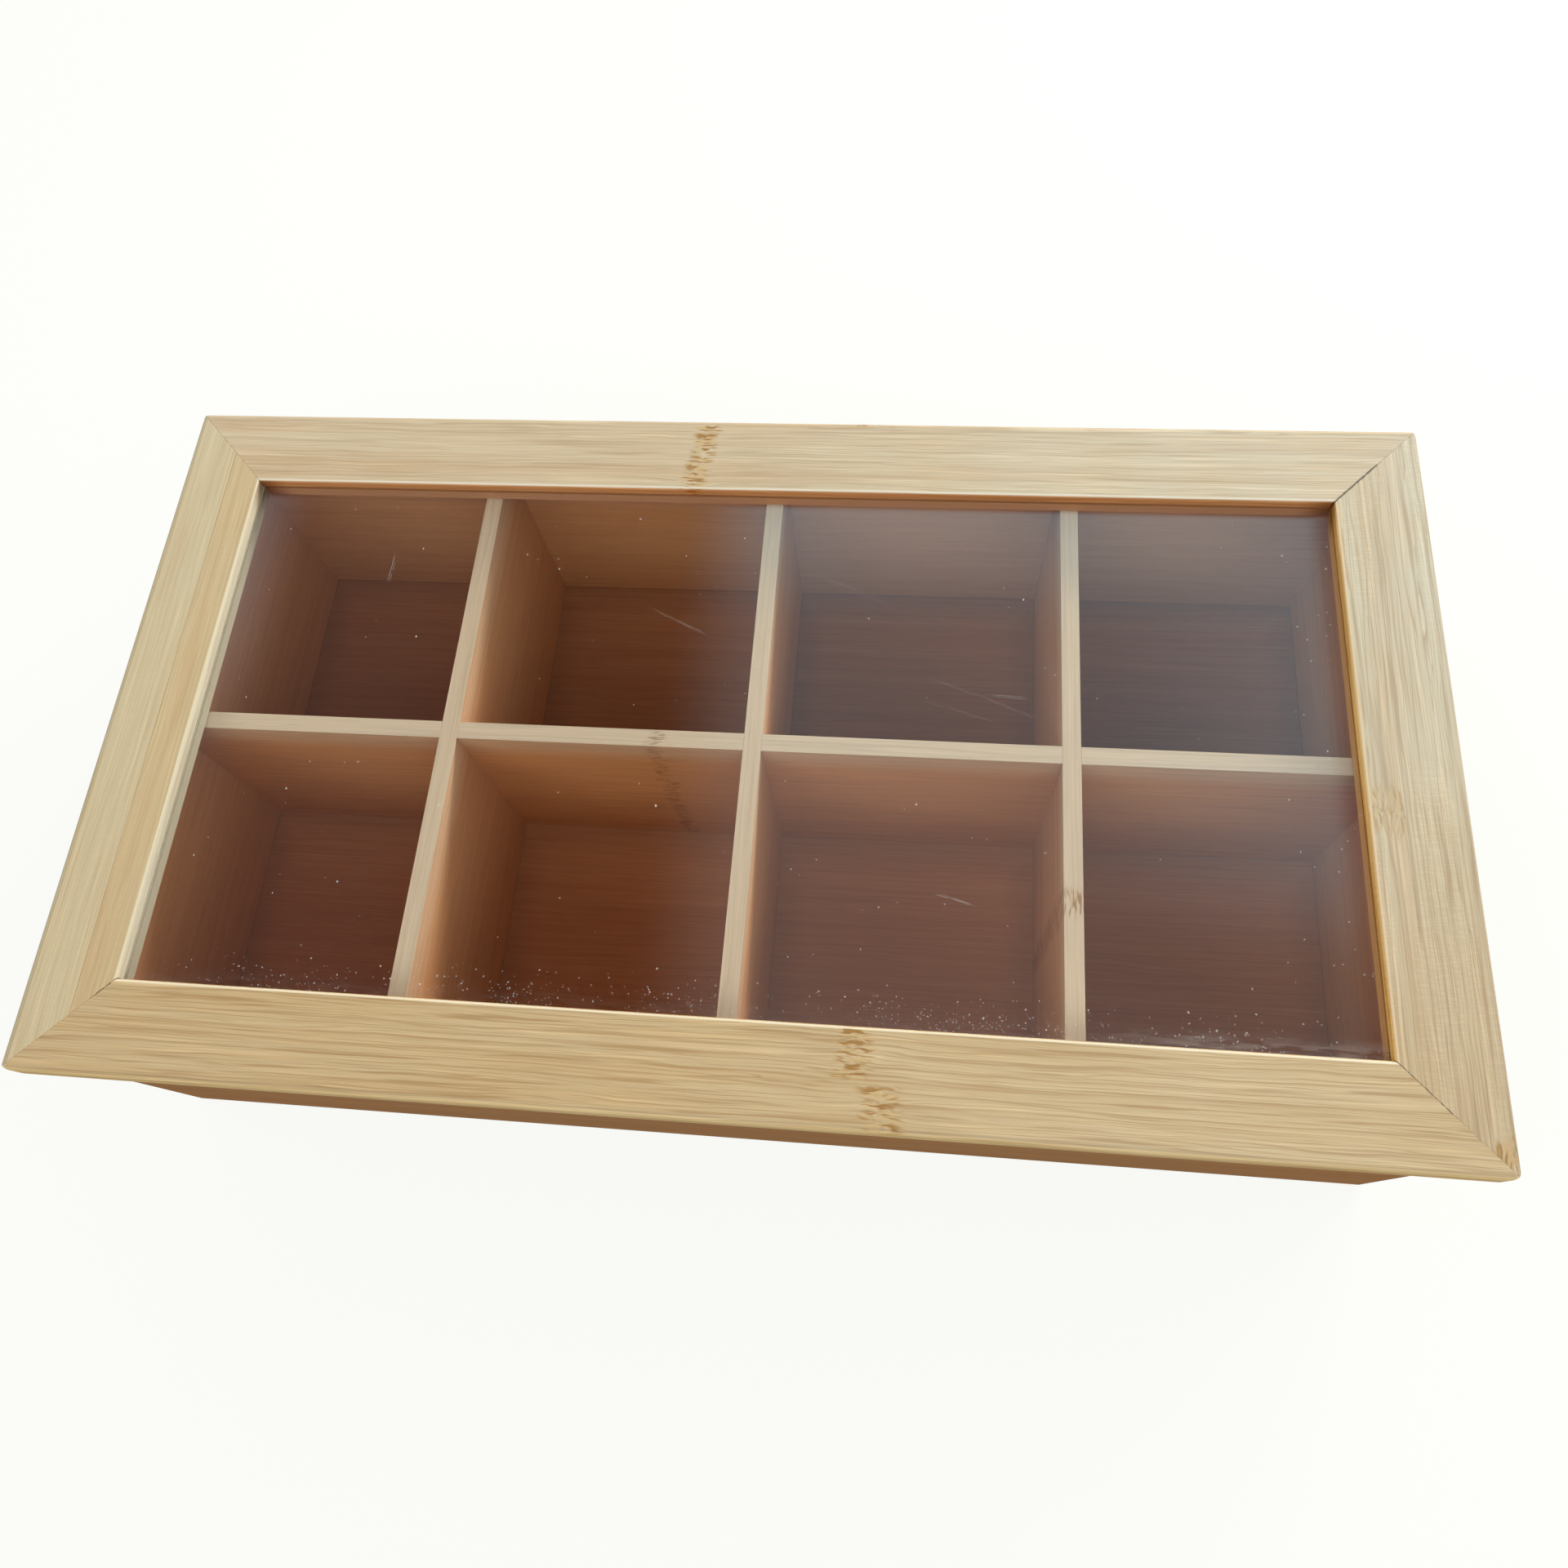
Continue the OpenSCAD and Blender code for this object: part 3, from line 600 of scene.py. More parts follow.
def frame_wear_and_shade_group():
    """Masks of the lid's frame: the line of each mitre, by corner, and round the window its arris, its
    wall, the pane's groove, the wall below the pane and the nooks at the back. Rim is the rounding
    round the outside, and Varnish the flat top, thinner where it is rubbed. The masks other than the
    mitre lines and Varnish mark where light and shade are painted."""
    tree, given, made = shader_group(
        "frame_wear_and_shade",
        {
            "Place": ("Vector", None),
            "Back Right": ("Float", 0.00022),
            "Front Right": ("Float", 0.00010),
            "Front Left": ("Float", 0.00012),
            "Back Left": ("Float", 0.00006),
        },
        {
            "Joint": "Float",
            "Wall": "Float",
            "Arris": "Float",
            "Groove": "Float",
            "Lower": "Float",
            "Nook": "Float",
            "Rim": "Float",
            "Varnish": "Float",
        },
    )
    axes = split_axes(tree, given.outputs["Place"])
    out_x = maths(tree, "ABSOLUTE", axes["X"])
    out_y = maths(tree, "ABSOLUTE", axes["Y"])
    right = maths(tree, "GREATER_THAN", axes["X"], 0.0)
    back = maths(tree, "GREATER_THAN", axes["Y"], 0.0)
    off = maths(tree, "SUBTRACT", maths(tree, "SUBTRACT", out_x, out_y), corner_line)
    off = maths(tree, "ABSOLUTE", off)
    run = maths(tree, "SUBTRACT", out_x, window_x)
    ragged = grain_noise(tree, given.outputs["Place"], (0.0012, 0.0012, 0.0012), 2.0)
    ragged = fade(tree, ragged, 0.35, 0.6, 0.55, 1.15)
    inner = fade(tree, run, 0.016, 0.010)
    short = fade(tree, run, 0.0075, 0.0045)
    hair, widths = 0.00004, {}
    for corner, reach in (("Back Right", inner), ("Front Left", short), ("Front Right", inner)):
        gap = maths(tree, "MULTIPLY", reach, given.outputs[corner])
        widths[corner] = maths(tree, "MAXIMUM", gap, hair)
    on_right = either(tree, back, widths["Front Right"], widths["Back Right"])
    on_left = either(tree, back, widths["Front Left"], given.outputs["Back Left"])
    width = either(tree, right, on_left, on_right)
    width = maths(tree, "MULTIPLY", width, ragged)
    joint = maths(tree, "SUBTRACT", 1.0, maths(tree, "DIVIDE", off, maths(tree, "MULTIPLY", width, 2.2)))
    open_joint = fade(tree, width, 0.00004, 0.00012, 0.28, 1.0)
    above = maths(tree, "GREATER_THAN", axes["Z"], pane_z + pane_half + 0.0003)
    open_joint = maths(tree, "MULTIPLY", open_joint, above)
    feed(tree, made.inputs["Joint"], maths(tree, "MULTIPLY", fade(tree, joint, 0.0, 0.55), open_joint))
    past = maths(tree, "MAXIMUM", run, maths(tree, "SUBTRACT", out_y, window_y))
    arris = maths(tree, "MULTIPLY", fade(tree, past, 0.0002, 0.0004), fade(tree, past, 0.0010, 0.0007))
    feed(tree, made.inputs["Arris"], maths(tree, "MULTIPLY", arris, above))
    rubbed = grain_noise(tree, given.outputs["Place"], (0.03, 0.03, 0.01), 2.0)
    varnish = fade(tree, axes["Z"], lid_top - 0.0008, lid_top - 0.0002)
    varnish = maths(tree, "MULTIPLY", varnish, fade(tree, rubbed, 0.3, 0.7, 0.7, 1.0))
    feed(tree, made.inputs["Varnish"], varnish)
    level = maths(tree, "ABSOLUTE", maths(tree, "SUBTRACT", axes["Z"], pane_z))
    level = fade(tree, level, pane_half + 0.0004, pane_half + 0.0002)
    level = maths(tree, "MULTIPLY", level, fade(tree, past, 0.0001, 0.0003))
    level = maths(tree, "MULTIPLY", level, maths(tree, "LESS_THAN", past, 0.012))
    wall = fade(tree, past, 0.0004, 0.0001)
    lower = maths(tree, "MULTIPLY", fade(tree, axes["Z"], pane_z, pane_z - pane_half), wall)
    feed(tree, made.inputs["Groove"], level)
    feed(tree, made.inputs["Lower"], lower)
    feed(tree, made.inputs["Wall"], maths(tree, "MAXIMUM", wall, level))
    nook = fade(tree, axes["Y"], 0.066, 0.077)
    nook = maths(tree, "MULTIPLY", fade(tree, out_x, 0.150, 0.160), nook)
    feed(tree, made.inputs["Nook"], maths(tree, "MULTIPLY", nook, fade(tree, past, 0.0006, 0.0002)))
    rim = maths(tree, "SUBTRACT", out_x, lid_half_x)
    rim = maths(tree, "MAXIMUM", rim, maths(tree, "SUBTRACT", out_y, lid_half_y))
    feed(tree, made.inputs["Rim"], fade(tree, rim, -0.0011, -0.0003))
    return tree


frame_wear_and_shade = frame_wear_and_shade_group()
joint_tone = (0.11, 0.060, 0.026, 1)
# painted shade on the outer rounding of the back rail and the stiles
rim_shade = (0.84, 0.88, 0.96, 1)
# painted shade in the back corners of the window
nook_shade = (0.52, 0.42, 0.34, 1)


def wear_and_shade_frame(board, wall_light_and_shade, groove_shade, lower_shade, arris_highlight, rim_light_and_shade):
    """Draws the mitre lines on a member of the lid's frame, and keeps the varnish to the flat top. It
    paints light and shade on the window's wall, its groove, the wall below the pane and the nooks
    at the back, a highlight along the window's arris, and light or shade on the rounding round the
    outside."""
    tree = board["tree"]
    wear_and_shade = put(tree, "Group", node_tree=frame_wear_and_shade)
    tree.links.new(board["object"], wear_and_shade.inputs["Place"])
    walled = tint(tree, wear_and_shade.outputs["Wall"], board["colour"], wall_light_and_shade, "MULTIPLY")
    walled = tint(tree, maths(tree, "MULTIPLY", wear_and_shade.outputs["Lower"], 0.85), walled, lower_shade)
    walled = tint(tree, maths(tree, "MULTIPLY", wear_and_shade.outputs["Groove"], 0.90), walled, groove_shade)
    walled = tint(tree, wear_and_shade.outputs["Nook"], walled, nook_shade, "MULTIPLY")
    # painted highlight along the window's arris
    arris = tint(tree, maths(tree, "MULTIPLY", wear_and_shade.outputs["Arris"], 0.80), walled, arris_highlight)
    arris = tint(tree, wear_and_shade.outputs["Rim"], arris, rim_light_and_shade, "MULTIPLY")
    joined = tint(tree, maths(tree, "MULTIPLY", wear_and_shade.outputs["Joint"], 0.85), arris, joint_tone)
    tree.links.new(joined, board["shader"].inputs["Base Color"])
    sunk = maths(tree, "MULTIPLY", wear_and_shade.outputs["Joint"], 2.0)
    sunk = maths(tree, "SUBTRACT", board["grain"].outputs["Height"], sunk)
    tree.links.new(sunk, board["relief"].inputs["Height"])
    board["shader"].inputs["Specular IOR Level"].default_value = 0.0
    board["shader"].inputs["Coat Roughness"].default_value = 0.42
    tree.links.new(wear_and_shade.outputs["Varnish"], board["shader"].inputs["Coat Weight"])
    tree.links.new(board["relief"].outputs["Normal"], board["shader"].inputs["Coat Normal"])


front_rail = bamboo_board(
    "front_rail_bamboo",
    ALONG_X,
    41,
    bump=0.00012,
    Ground=(0.59, 0.438, 0.232, 1),
    Band=(0.54, 0.370, 0.172, 1),
    Streak=(0.35, 0.190, 0.050, 1),
    Bands=0.60,
    Streaks=0.78,
    Fibres=0.19,
)
set_culm_nodes(
    front_rail,
    [
        {"Along": 0.0330, "Spread": 0.0055, "From": -0.0905, "To": -0.0775, "Seed": 0.31},
        {"Along": 0.0400, "Spread": 0.0060, "From": -0.1025, "To": -0.0915, "Seed": 0.57},
    ],
)
# each member's painted light and shade: window wall, groove, wall below the pane, arris highlight, outer
# rounding
wear_and_shade_frame(
    front_rail,
    (0.95, 1.00, 1.02, 1),
    (0.30, 0.14, 0.06, 1),
    (0.36, 0.18, 0.08, 1),
    (0.82, 0.74, 0.54, 1),
    # painted light on the front rail's outer rounding
    (1.32, 1.40, 1.44, 1),
)
dress("lid_front_rail", front_rail)

back_rail = bamboo_board(
    "back_rail_bamboo",
    ALONG_X,
    43,
    bump=0.00012,
    Ground=(0.60, 0.485, 0.305, 1),
    Band=(0.54, 0.370, 0.200, 1),
    Streak=(0.39, 0.250, 0.115, 1),
    Bands=0.65,
    Streaks=0.68,
    Fibres=0.17,
)
set_culm_nodes(
    back_rail,
    [
        {"Along": -0.0344, "Slant": 0.13, "Spread": 0.0046, "From": 0.0770, "To": 0.1010, "Seed": 0.83},
        {"Along": 0.0265, "Spread": 0.0030, "From": 0.1003, "To": 0.1040, "Seed": 0.12, "Shift": 0.0},
    ],
)
wear_and_shade_frame(
    back_rail,
    (1.02, 0.62, 0.40, 1),
    (0.42, 0.18, 0.08, 1),
    (0.57, 0.31, 0.17, 1),
    (0.95, 0.88, 0.70, 1),
    rim_shade,
)
dress("lid_back_rail", back_rail)

left_stile = bamboo_board(
    "left_stile_bamboo",
    ALONG_Y,
    47,
    Ground=(0.618, 0.517, 0.313, 1),
    Band=(0.61, 0.435, 0.235, 1),
    Streak=(0.45, 0.29, 0.12, 1),
    Bands=0.70,
    Streaks=0.44,
    Fibres=0.13,
    Flecks=0.25,
    Strips=1.0,
    Strip_Width=0.0131,
)
tree = left_stile["tree"]
axes = split_axes(tree, left_stile["object"])
inner_strip = fade(tree, axes["X"], -0.1704, -0.1702)
left_stile["colour"] = tint(tree, inner_strip, left_stile["colour"], (0.96, 0.88, 0.78, 1), "MULTIPLY")
wear_and_shade_frame(
    left_stile,
    (0.98, 1.22, 1.75, 1),
    (0.85, 0.78, 0.61, 1),
    (0.46, 0.42, 0.31, 1),
    (0.64, 0.58, 0.40, 1),
    rim_shade,
)
dress("lid_left_stile", left_stile)

right_stile = bamboo_board(
    "right_stile_bamboo",
    ALONG_Y,
    53,
    Ground=(0.575, 0.462, 0.272, 1),
    Band=(0.545, 0.388, 0.205, 1),
    Streak=(0.37, 0.225, 0.085, 1),
    Bands=0.65,
    Streaks=0.80,
    Fibres=0.15,
    Flecks=0.9,
    Strips=0.35,
    Strip_Width=0.0083,
    Knot_Colour=(0.40, 0.225, 0.050, 1),
    Stain_Colour=(0.58, 0.400, 0.175, 1),
)
set_culm_nodes(
    right_stile,
    [
        {"Along": -0.0150, "Spread": 0.0080, "From": -0.1690, "To": -0.1605, "Seed": 0.44, "Strength": 0.7},
        {"Along": -0.0975, "Spread": 0.0045, "From": -0.1850, "To": -0.1795, "Seed": 0.66, "Strength": 1.6},
    ],
)
tree = right_stile["tree"]
axes = split_axes(tree, right_stile["object"])
# painted sheen: the right stile cooler towards its back end, and darker and warmer towards its front
to_front = fade(tree, axes["Y"], 0.040, -0.085)
end_sheen = tint(tree, to_front, (1.0, 1.03, 1.12, 1), (0.93, 0.875, 0.83, 1))
right_stile["colour"] = tint(tree, 1.0, right_stile["colour"], end_sheen, "MULTIPLY")
wear_and_shade_frame(
    right_stile,
    (1.62, 1.38, 0.86, 1),
    (0.49, 0.165, 0.03, 1),
    (0.68, 0.38, 0.160, 1),
    (0.95, 0.72, 0.43, 1),
    rim_shade,
)
dress("lid_right_stile", right_stile)

# A loose spline of darker bamboo is glued into a slot across each mitre, hidden in the frame.

spline_finish = bamboo_board(
    "spline_strip",
    ALONG_X,
    59,
    Ground=(0.50, 0.35, 0.19, 1),
    Band=(0.42, 0.26, 0.12, 1),
    Streak=(0.26, 0.14, 0.06, 1),
    Base_Roughness=0.6,
)
for corner in ("front_left", "front_right", "back_left", "back_right"):
    dress(corner + "_spline", spline_finish)

# The window is a 2 mm clear acrylic sheet, held in a groove of the frame. It has a little dust, most
# of it along the front edge, and a few fine scratches from wiping.


def pane_dirt_group():
    """Dust specks, denser towards the front edge, and a few fine scratches, both as masks."""
    tree, given, made = shader_group(
        "pane_dirt",
        {"Place": ("Vector", None)},
        {"Dust": "Float", "Scratch": "Float"},
    )
    axes = split_axes(tree, given.outputs["Place"])
    front = fade(tree, axes["Y"], -0.066, -0.0768)
    front = maths(tree, "MAXIMUM", front, fade(tree, axes["X"], 0.135, 0.160, 0.0, 0.07))
    crowd = grain_noise(tree, given.outputs["Place"], (0.030, 0.010, 0.010), 2.0)
    crowd = fade(tree, crowd, 0.40, 0.60, 0.16, 1.0)
    crowd = maths(tree, "MULTIPLY", crowd, fade(tree, axes["X"], -0.17, 0.03, 0.45, 1.0))
    wisp = fade(tree, grain_noise(tree, given.outputs["Place"], (0.008, 0.0009, 0.0009), 2.0), 0.42, 0.62)
    film = maths(tree, "MULTIPLY", fade(tree, axes["Y"], -0.0722, -0.0764), wisp)
    dust = maths(tree, "MULTIPLY", film, fade(tree, axes["X"], 0.085, 0.125, 0.02, 0.12))
    shake_cell, shake = 0.0006, 0.0007
    shaken = put(tree, "TexNoise")
    feed(tree, shaken.inputs["Vector"], given.outputs["Place"])
    shaken.inputs["Scale"].default_value = 1 / shake_cell
    ragged = vector_maths(tree, "SCALE", shaken.outputs["Color"], shake)
    crumbs = vector_maths(tree, "ADD", given.outputs["Place"], ragged)
    for cell, sparse, dense, size in (
        (0.0008, 0.9985, 0.38, 0.27),
        (0.0014, 0.993, 0.66, 0.18),
        (0.0036, 0.960, 0.86, 0.072),
    ):
        cells = put(tree, "TexVoronoi", feature="F1")
        feed(tree, cells.inputs["Vector"], crumbs)
        cells.inputs["Scale"].default_value = 1 / cell
        pick = put(tree, "SeparateColor")
        feed(tree, pick.inputs[0], cells.outputs["Color"])
        level = maths(tree, "MULTIPLY", front, crowd)
        level = maths(tree, "MULTIPLY_ADD", level, dense - sparse, sparse)
        chosen = maths(tree, "GREATER_THAN", pick.outputs[0], level)
        girth = maths(tree, "MULTIPLY_ADD", pick.outputs[1], size, size * 0.5)
        speck = maths(tree, "DIVIDE", cells.outputs["Distance"], girth)
        speck = maths(tree, "MULTIPLY", fade(tree, speck, 1.0, 0.5), chosen)
        speck = maths(tree, "MULTIPLY", speck, fade(tree, pick.outputs[2], 0.1, 1.0, 0.14, 0.68))
        dust = maths(tree, "MAXIMUM", dust, speck)
    feed(tree, made.inputs["Dust"], dust)

    # each scratch: where it starts, where it ends, and how strong it is
    bend = grain_noise(tree, given.outputs["Place"], (0.012, 0.012, 0.012), 1.0)
    bend = swing(tree, bend, 0.0016)
    broken = grain_noise(tree, given.outputs["Place"], (0.0022, 0.0022, 0.0022), 1.0)
    broken = fade(tree, broken, 0.36, 0.56, 0.25, 1.0)
    scratch = 0.0
    for start_x, start_y, end_x, end_y, depth in (
        (-0.0340, 0.0397, -0.0140, 0.0298, 0.55),
        (0.0507, -0.0413, 0.0633, -0.0449, 1.0),
        (0.0645, 0.0150, 0.0755, 0.0142, 0.7),
        (-0.1127, 0.0560, -0.1133, 0.0440, 0.9),
        (0.0130, 0.0520, 0.0380, 0.0415, 0.35),
        (0.0420, 0.0220, 0.0850, 0.0060, 0.30),
        (0.0450, 0.0130, 0.0700, 0.0060, 0.25),
    ):
        length = math.hypot(end_x - start_x, end_y - start_y)
        lie = put(tree, "Mapping", vector_type="TEXTURE")
        feed(tree, lie.inputs["Vector"], given.outputs["Place"])
        lie.inputs["Location"].default_value = (start_x, start_y, 0)
        lie.inputs["Rotation"].default_value = (0, 0, math.atan2(end_y - start_y, end_x - start_x))
        split = split_axes(tree, lie.outputs["Vector"])
        off = maths(tree, "ABSOLUTE", maths(tree, "ADD", split["Y"], bend))
        along = maths(tree, "ABSOLUTE", maths(tree, "SUBTRACT", split["X"], length / 2))
        line = fade(tree, along, length / 2, length / 4)
        line = maths(tree, "MULTIPLY", fade(tree, off, 0.00010, 0.00003), line)
        line = maths(tree, "MULTIPLY", maths(tree, "MULTIPLY", line, broken), depth)
        scratch = maths(tree, "MAXIMUM", scratch, line)
    feed(tree, made.inputs["Scratch"], scratch)
    return tree


def mix_shaders(tree, share, first, second):
    """Goes from one shader to another by a share."""
    node = put(tree, "MixShader")
    feed(tree, node.inputs[0], share)
    feed(tree, node.inputs[1], first)
    feed(tree, node.inputs[2], second)
    return node.outputs[0]


pane, tree = new_material("window_acrylic")
acrylic = tree.nodes["Principled BSDF"]
acrylic.inputs["Base Color"].default_value = (0.985, 0.99, 0.985, 1)
acrylic.inputs["Roughness"].default_value = 0.0
acrylic.inputs["IOR"].default_value = 1.49
acrylic.inputs["Transmission Weight"].default_value = 1.0
lamp_side = put(tree, "BsdfTransparent")
lamp_side.inputs["Color"].default_value = (0.90, 0.905, 0.90, 1)
dirt = put(tree, "Group", node_tree=pane_dirt_group())
where = put(tree, "TexCoord")
tree.links.new(where.outputs["Object"], dirt.inputs["Place"])
grime = put(tree, "BsdfPrincipled")
grime.inputs["Base Color"].default_value = (0.80, 0.78, 0.74, 1)
grime.inputs["Roughness"].default_value = 0.9
scratch_share, dirt_limit = 0.35, 0.85
scratches = maths(tree, "MULTIPLY", dirt.outputs["Scratch"], scratch_share)
amount = maths(tree, "MAXIMUM", dirt.outputs["Dust"], scratches)
amount = maths(tree, "MINIMUM", amount, dirt_limit)
coated = mix_shaders(tree, amount, acrylic.outputs[0], grime.outputs[0])
ray = put(tree, "LightPath")
lets_by = maths(tree, "MAXIMUM", ray.outputs["Is Shadow Ray"], ray.outputs["Is Diffuse Ray"])
surface = mix_shaders(tree, lets_by, coated, lamp_side.outputs[0])
tree.links.new(surface, tree.nodes["Material Output"].inputs["Surface"])
dress("window_pane", {"material": pane})

# The box stands on a plain pale studio floor that runs back under a white world. What light it throws
# back at the box is dim and warm.


def shown_rays(tree):
    """Is 1 for the rays of the camera, metal and glass, and 0 for all others."""
    ray = put(tree, "LightPath")
    shown = maths(tree, "MAXIMUM", ray.outputs["Is Camera Ray"], ray.outputs["Is Glossy Ray"])
    return maths(tree, "MAXIMUM", shown, ray.outputs["Is Transmission Ray"])


def square(name, reach, height, face):
    """A level square, reach to each side of the middle. face is the order of its corners."""
    mesh = bpy.data.meshes.new(name)
    corners = [(-reach, -reach, 0), (reach, -reach, 0), (reach, reach, 0), (-reach, reach, 0)]
    mesh.from_pydata(corners, [], [face])
    made = bpy.data.objects.new(name, mesh)
    made.location.z = height
    bpy.context.scene.collection.objects.link(made)
    return made


floor_reach, floor_height = 4.0, -0.0003
floor = square("studio_floor", floor_reach, floor_height, (0, 1, 2, 3))
backdrop_white = (0.982, 0.991, 0.956, 1)
floor_finish, tree = new_material("studio_floor_paint")
tree.nodes.remove(tree.nodes["Principled BSDF"])
paint = put(tree, "BsdfDiffuse")
paint.inputs["Color"].default_value = (0.22, 0.175, 0.125, 1)
glow = put(tree, "Emission")
glow.inputs["Color"].default_value = backdrop_white
seen_paint = put(tree, "BsdfDiffuse")
seen_paint.inputs["Color"].default_value = backdrop_white
spot = put(tree, "TexCoord")
far = put(tree, "VectorMath", operation="LENGTH")
tree.links.new(spot.outputs["Object"], far.inputs[0])
glow_share = fade(tree, far.outputs["Value"], 0.25, 0.9, 0.88, 1.0)
seen = mix_shaders(tree, glow_share, seen_paint.outputs[0], glow.outputs[0])
surface = mix_shaders(tree, shown_rays(tree), paint.outputs[0], seen)
tree.links.new(surface, tree.nodes["Material Output"].inputs["Surface"])
floor.data.materials.append(floor_finish)

# Soft light comes from all round. It is strongest from low behind on the right and from halfway up in
# front, and weak overhead. White shows wherever the camera, metal or glass sees past the floor.

world = bpy.data.worlds.new("studio")
bpy.context.scene.world = world
world.use_nodes = True
tree = world.node_tree
sky = tree.nodes["Background"]
aim = put(tree, "TexCoord")
split = split_axes(tree, aim.outputs["Generated"])
sky.inputs["Color"].default_value = (1.0, 0.985, 0.965, 1)
right_share, back_share = 0.62, 0.78
toward = maths(tree, "MULTIPLY", split["X"], right_share)
toward = maths(tree, "MULTIPLY_ADD", split["Y"], back_share, toward)
low = fade(tree, toward, -0.9, 0.9, 0.25, 1.60)
right_share, back_share = 0.35, 0.94
behind = maths(tree, "MULTIPLY", split["X"], right_share)
behind = maths(tree, "MULTIPLY_ADD", split["Y"], back_share, behind)
high = fade(tree, behind, -0.65, 0.25, 2.25, 0.68)
level = either(tree, fade(tree, split["Z"], 0.38, 0.60), low, high)
level = maths(tree, "MULTIPLY", level, fade(tree, split["Z"], 0.74, 0.95, 1.0, 0.15))
tree.links.new(level, sky.inputs["Strength"])
white = put(tree, "Background")
white.inputs["Color"].default_value = backdrop_white
surface = mix_shaders(tree, shown_rays(tree), sky.outputs[0], white.outputs[0])
tree.links.new(surface, tree.nodes["World Output"].inputs["Surface"])

# A long soft lamp stands low behind the box on the right, and lights the window's left wall and
# arrises.

lamp_azimuth, lamp_elevation, lamp_distance = math.radians(38), math.radians(11.5), 1.1
lamp_data = bpy.data.lights.new("low_lamp", "AREA")
lamp_data.shape = "RECTANGLE"
lamp_data.size = 0.7
lamp_data.size_y = 0.16
lamp_data.energy = 12.0
lamp_data.color = (1.0, 0.96, 0.90)
lamp = bpy.data.objects.new("low_lamp", lamp_data)
away = Vector(
    (
        math.cos(lamp_elevation) * math.sin(lamp_azimuth),
        math.cos(lamp_elevation) * math.cos(lamp_azimuth),
        math.sin(lamp_elevation),
    )
)
lamp.location = Vector((0, 0, 0.09)) + away * lamp_distance
lamp.rotation_euler = away.to_track_quat("Z", "Y").to_euler()
lamp.visible_camera = False
lamp.visible_glossy = False
lamp.visible_transmission = False
bpy.context.scene.collection.objects.link(lamp)

# Above hangs a wide card that only the gloss of the window and the varnish mirrors. It is dark on the
# left and grey on the right, and glows a cold blue behind, at the sides and in front on the right.
# Towards its edges it fades to the white that lies beyond it.

card_reach, card_height = 1.6, 1.0
card = square("ceiling_card", card_reach, card_height, (0, 3, 2, 1))
card.visible_camera = False
card.visible_diffuse = False
card.visible_shadow = False
card_finish, tree = new_material("ceiling_card_paint")
tree.nodes.remove(tree.nodes["Principled BSDF"])
spot = put(tree, "TexCoord")
split = split_axes(tree, spot.outputs["Object"])
cool = tint(tree, fade(tree, split["Y"], 0.15, 0.50), (0.58, 0.60, 0.59, 1), (0.50, 0.75, 0.86, 1))
cool = tint(tree, fade(tree, split["Y"], 0.50, 0.68), cool, (0.60, 1.35, 1.70, 1))
dim = fade(tree, split["X"], -0.55, -0.35)
dim = tint(tree, dim, (0.20, 0.17, 0.17, 1), (0.045, 0.03, 0.02, 1))
bright = fade(tree, split["Y"], 0.15, 0.30)
bright = maths(tree, "MULTIPLY", fade(tree, split["X"], 0.12, 0.50), bright)
cool = tint(tree, maths(tree, "MULTIPLY", bright, 0.6), cool, (1.0, 1.6, 1.9, 1))
tone = tint(tree, fade(tree, split["X"], -0.24, -0.10), dim, cool)

# the cold glow behind, at the right and left, and in front
behind = fade(tree, split["Y"], 0.69, 0.77)
share = fade(tree, split["X"], -0.1, 0.45, 0.40, 1.0)
share = maths(tree, "ADD", share, fade(tree, split["X"], -0.45, -0.70, 0.0, 0.20))
behind = maths(tree, "MULTIPLY", behind, share)
right = fade(tree, split["X"], 0.49, 0.57)
right = maths(tree, "MULTIPLY", right, fade(tree, split["Y"], 0.15, 0.62))
left = fade(tree, split["X"], -0.68, -0.90)
left = maths(tree, "MULTIPLY", left, fade(tree, split["Y"], 0.20, 0.60, 0.0, 0.55))
front = fade(tree, split["Y"], 0.086, 0.068)
front = maths(tree, "MULTIPLY", front, fade(tree, split["Y"], -0.7, -0.3))
front = maths(tree, "MULTIPLY", front, fade(tree, split["X"], -0.15, 0.25, 0.0, 0.52))
front = maths(tree, "MULTIPLY", front, fade(tree, split["X"], 0.70, 0.50))
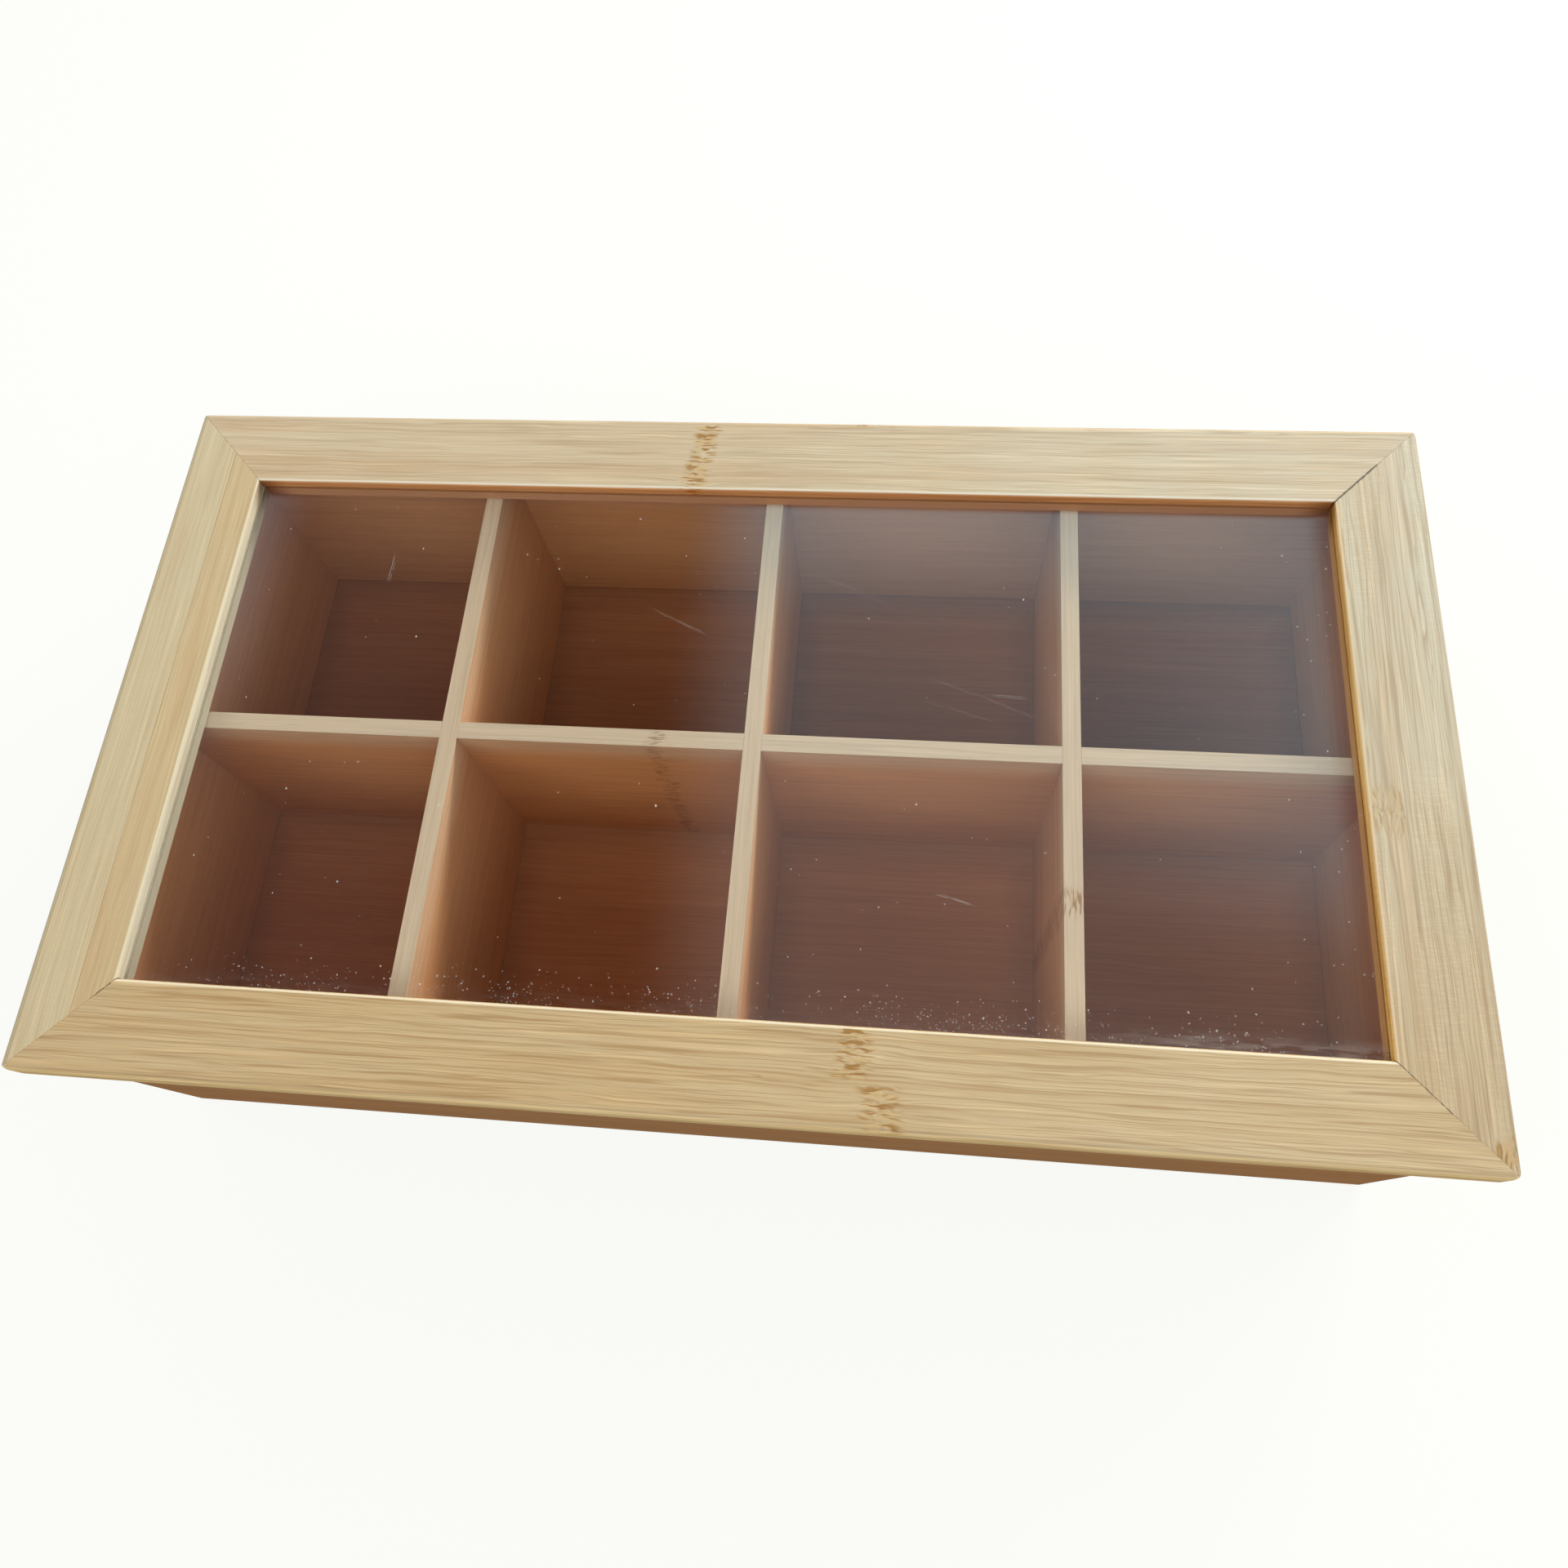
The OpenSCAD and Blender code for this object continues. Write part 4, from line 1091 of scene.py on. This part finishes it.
sheen = tint(tree, fade(tree, split["X"], -0.65, -0.35), (2.8, 4.3, 5.4, 1), (1.0, 3.9, 6.2, 1))
sheen = tint(tree, fade(tree, split["X"], 0.05, 0.40), sheen, (1.8, 5.8, 9.3, 1))
tone = tint(tree, maths(tree, "MAXIMUM", maths(tree, "MAXIMUM", behind, right), left), tone, sheen)
tone = tint(tree, front, tone, (2.4, 4.8, 7.0, 1))

# two thin dark slits, which the window mirrors as painted dark lines along its back and right walls, and
# the fade to white
slit = fade(tree, split["Y"], 0.700, 0.692)
slit = maths(tree, "MULTIPLY", fade(tree, split["Y"], 0.675, 0.684), slit)
side_slit = fade(tree, split["X"], 0.510, 0.504)
side_slit = maths(tree, "MULTIPLY", fade(tree, split["X"], 0.468, 0.498), side_slit)
slit = maths(tree, "MAXIMUM", slit, maths(tree, "MULTIPLY", side_slit, 0.75))
tone = tint(tree, slit, tone, (0.06, 0.09, 0.20, 1))
outward = maths(tree, "ABSOLUTE", split["X"])
outward = maths(tree, "MAXIMUM", outward, maths(tree, "ABSOLUTE", split["Y"]))
tone = tint(tree, fade(tree, outward, 1.05, 1.30), tone, backdrop_white)
glow = put(tree, "Emission")
tree.links.new(tone, glow.inputs["Color"])
tree.links.new(glow.outputs[0], tree.nodes["Material Output"].inputs["Surface"])
card.data.materials.append(card_finish)

# The camera looks down on the box from the front, a little to the right of its middle.

eye = Vector((0.0442, -0.1308, 0.3958))
look_right = Vector((0.99378, 0.07784, -0.07962))
look_down = Vector((0.04098, -0.92055, -0.38847))
look_ahead = Vector((-0.10353, 0.38279, -0.91802))
camera_data = bpy.data.cameras.new("camera")
camera_data.sensor_width = 36.0
camera_data.lens = 28.3
camera_data.shift_y = -0.026
camera_data.clip_start = 0.01
camera_data.dof.use_dof = False
camera = bpy.data.objects.new("camera", camera_data)
turned = Matrix((look_right, -look_down, -look_ahead)).transposed().to_quaternion()
camera.rotation_mode = "QUATERNION"
camera.rotation_quaternion = turned
camera.location = eye
bpy.context.scene.collection.objects.link(camera)
bpy.context.scene.camera = camera
bpy.context.scene.view_settings.view_transform = "Standard"
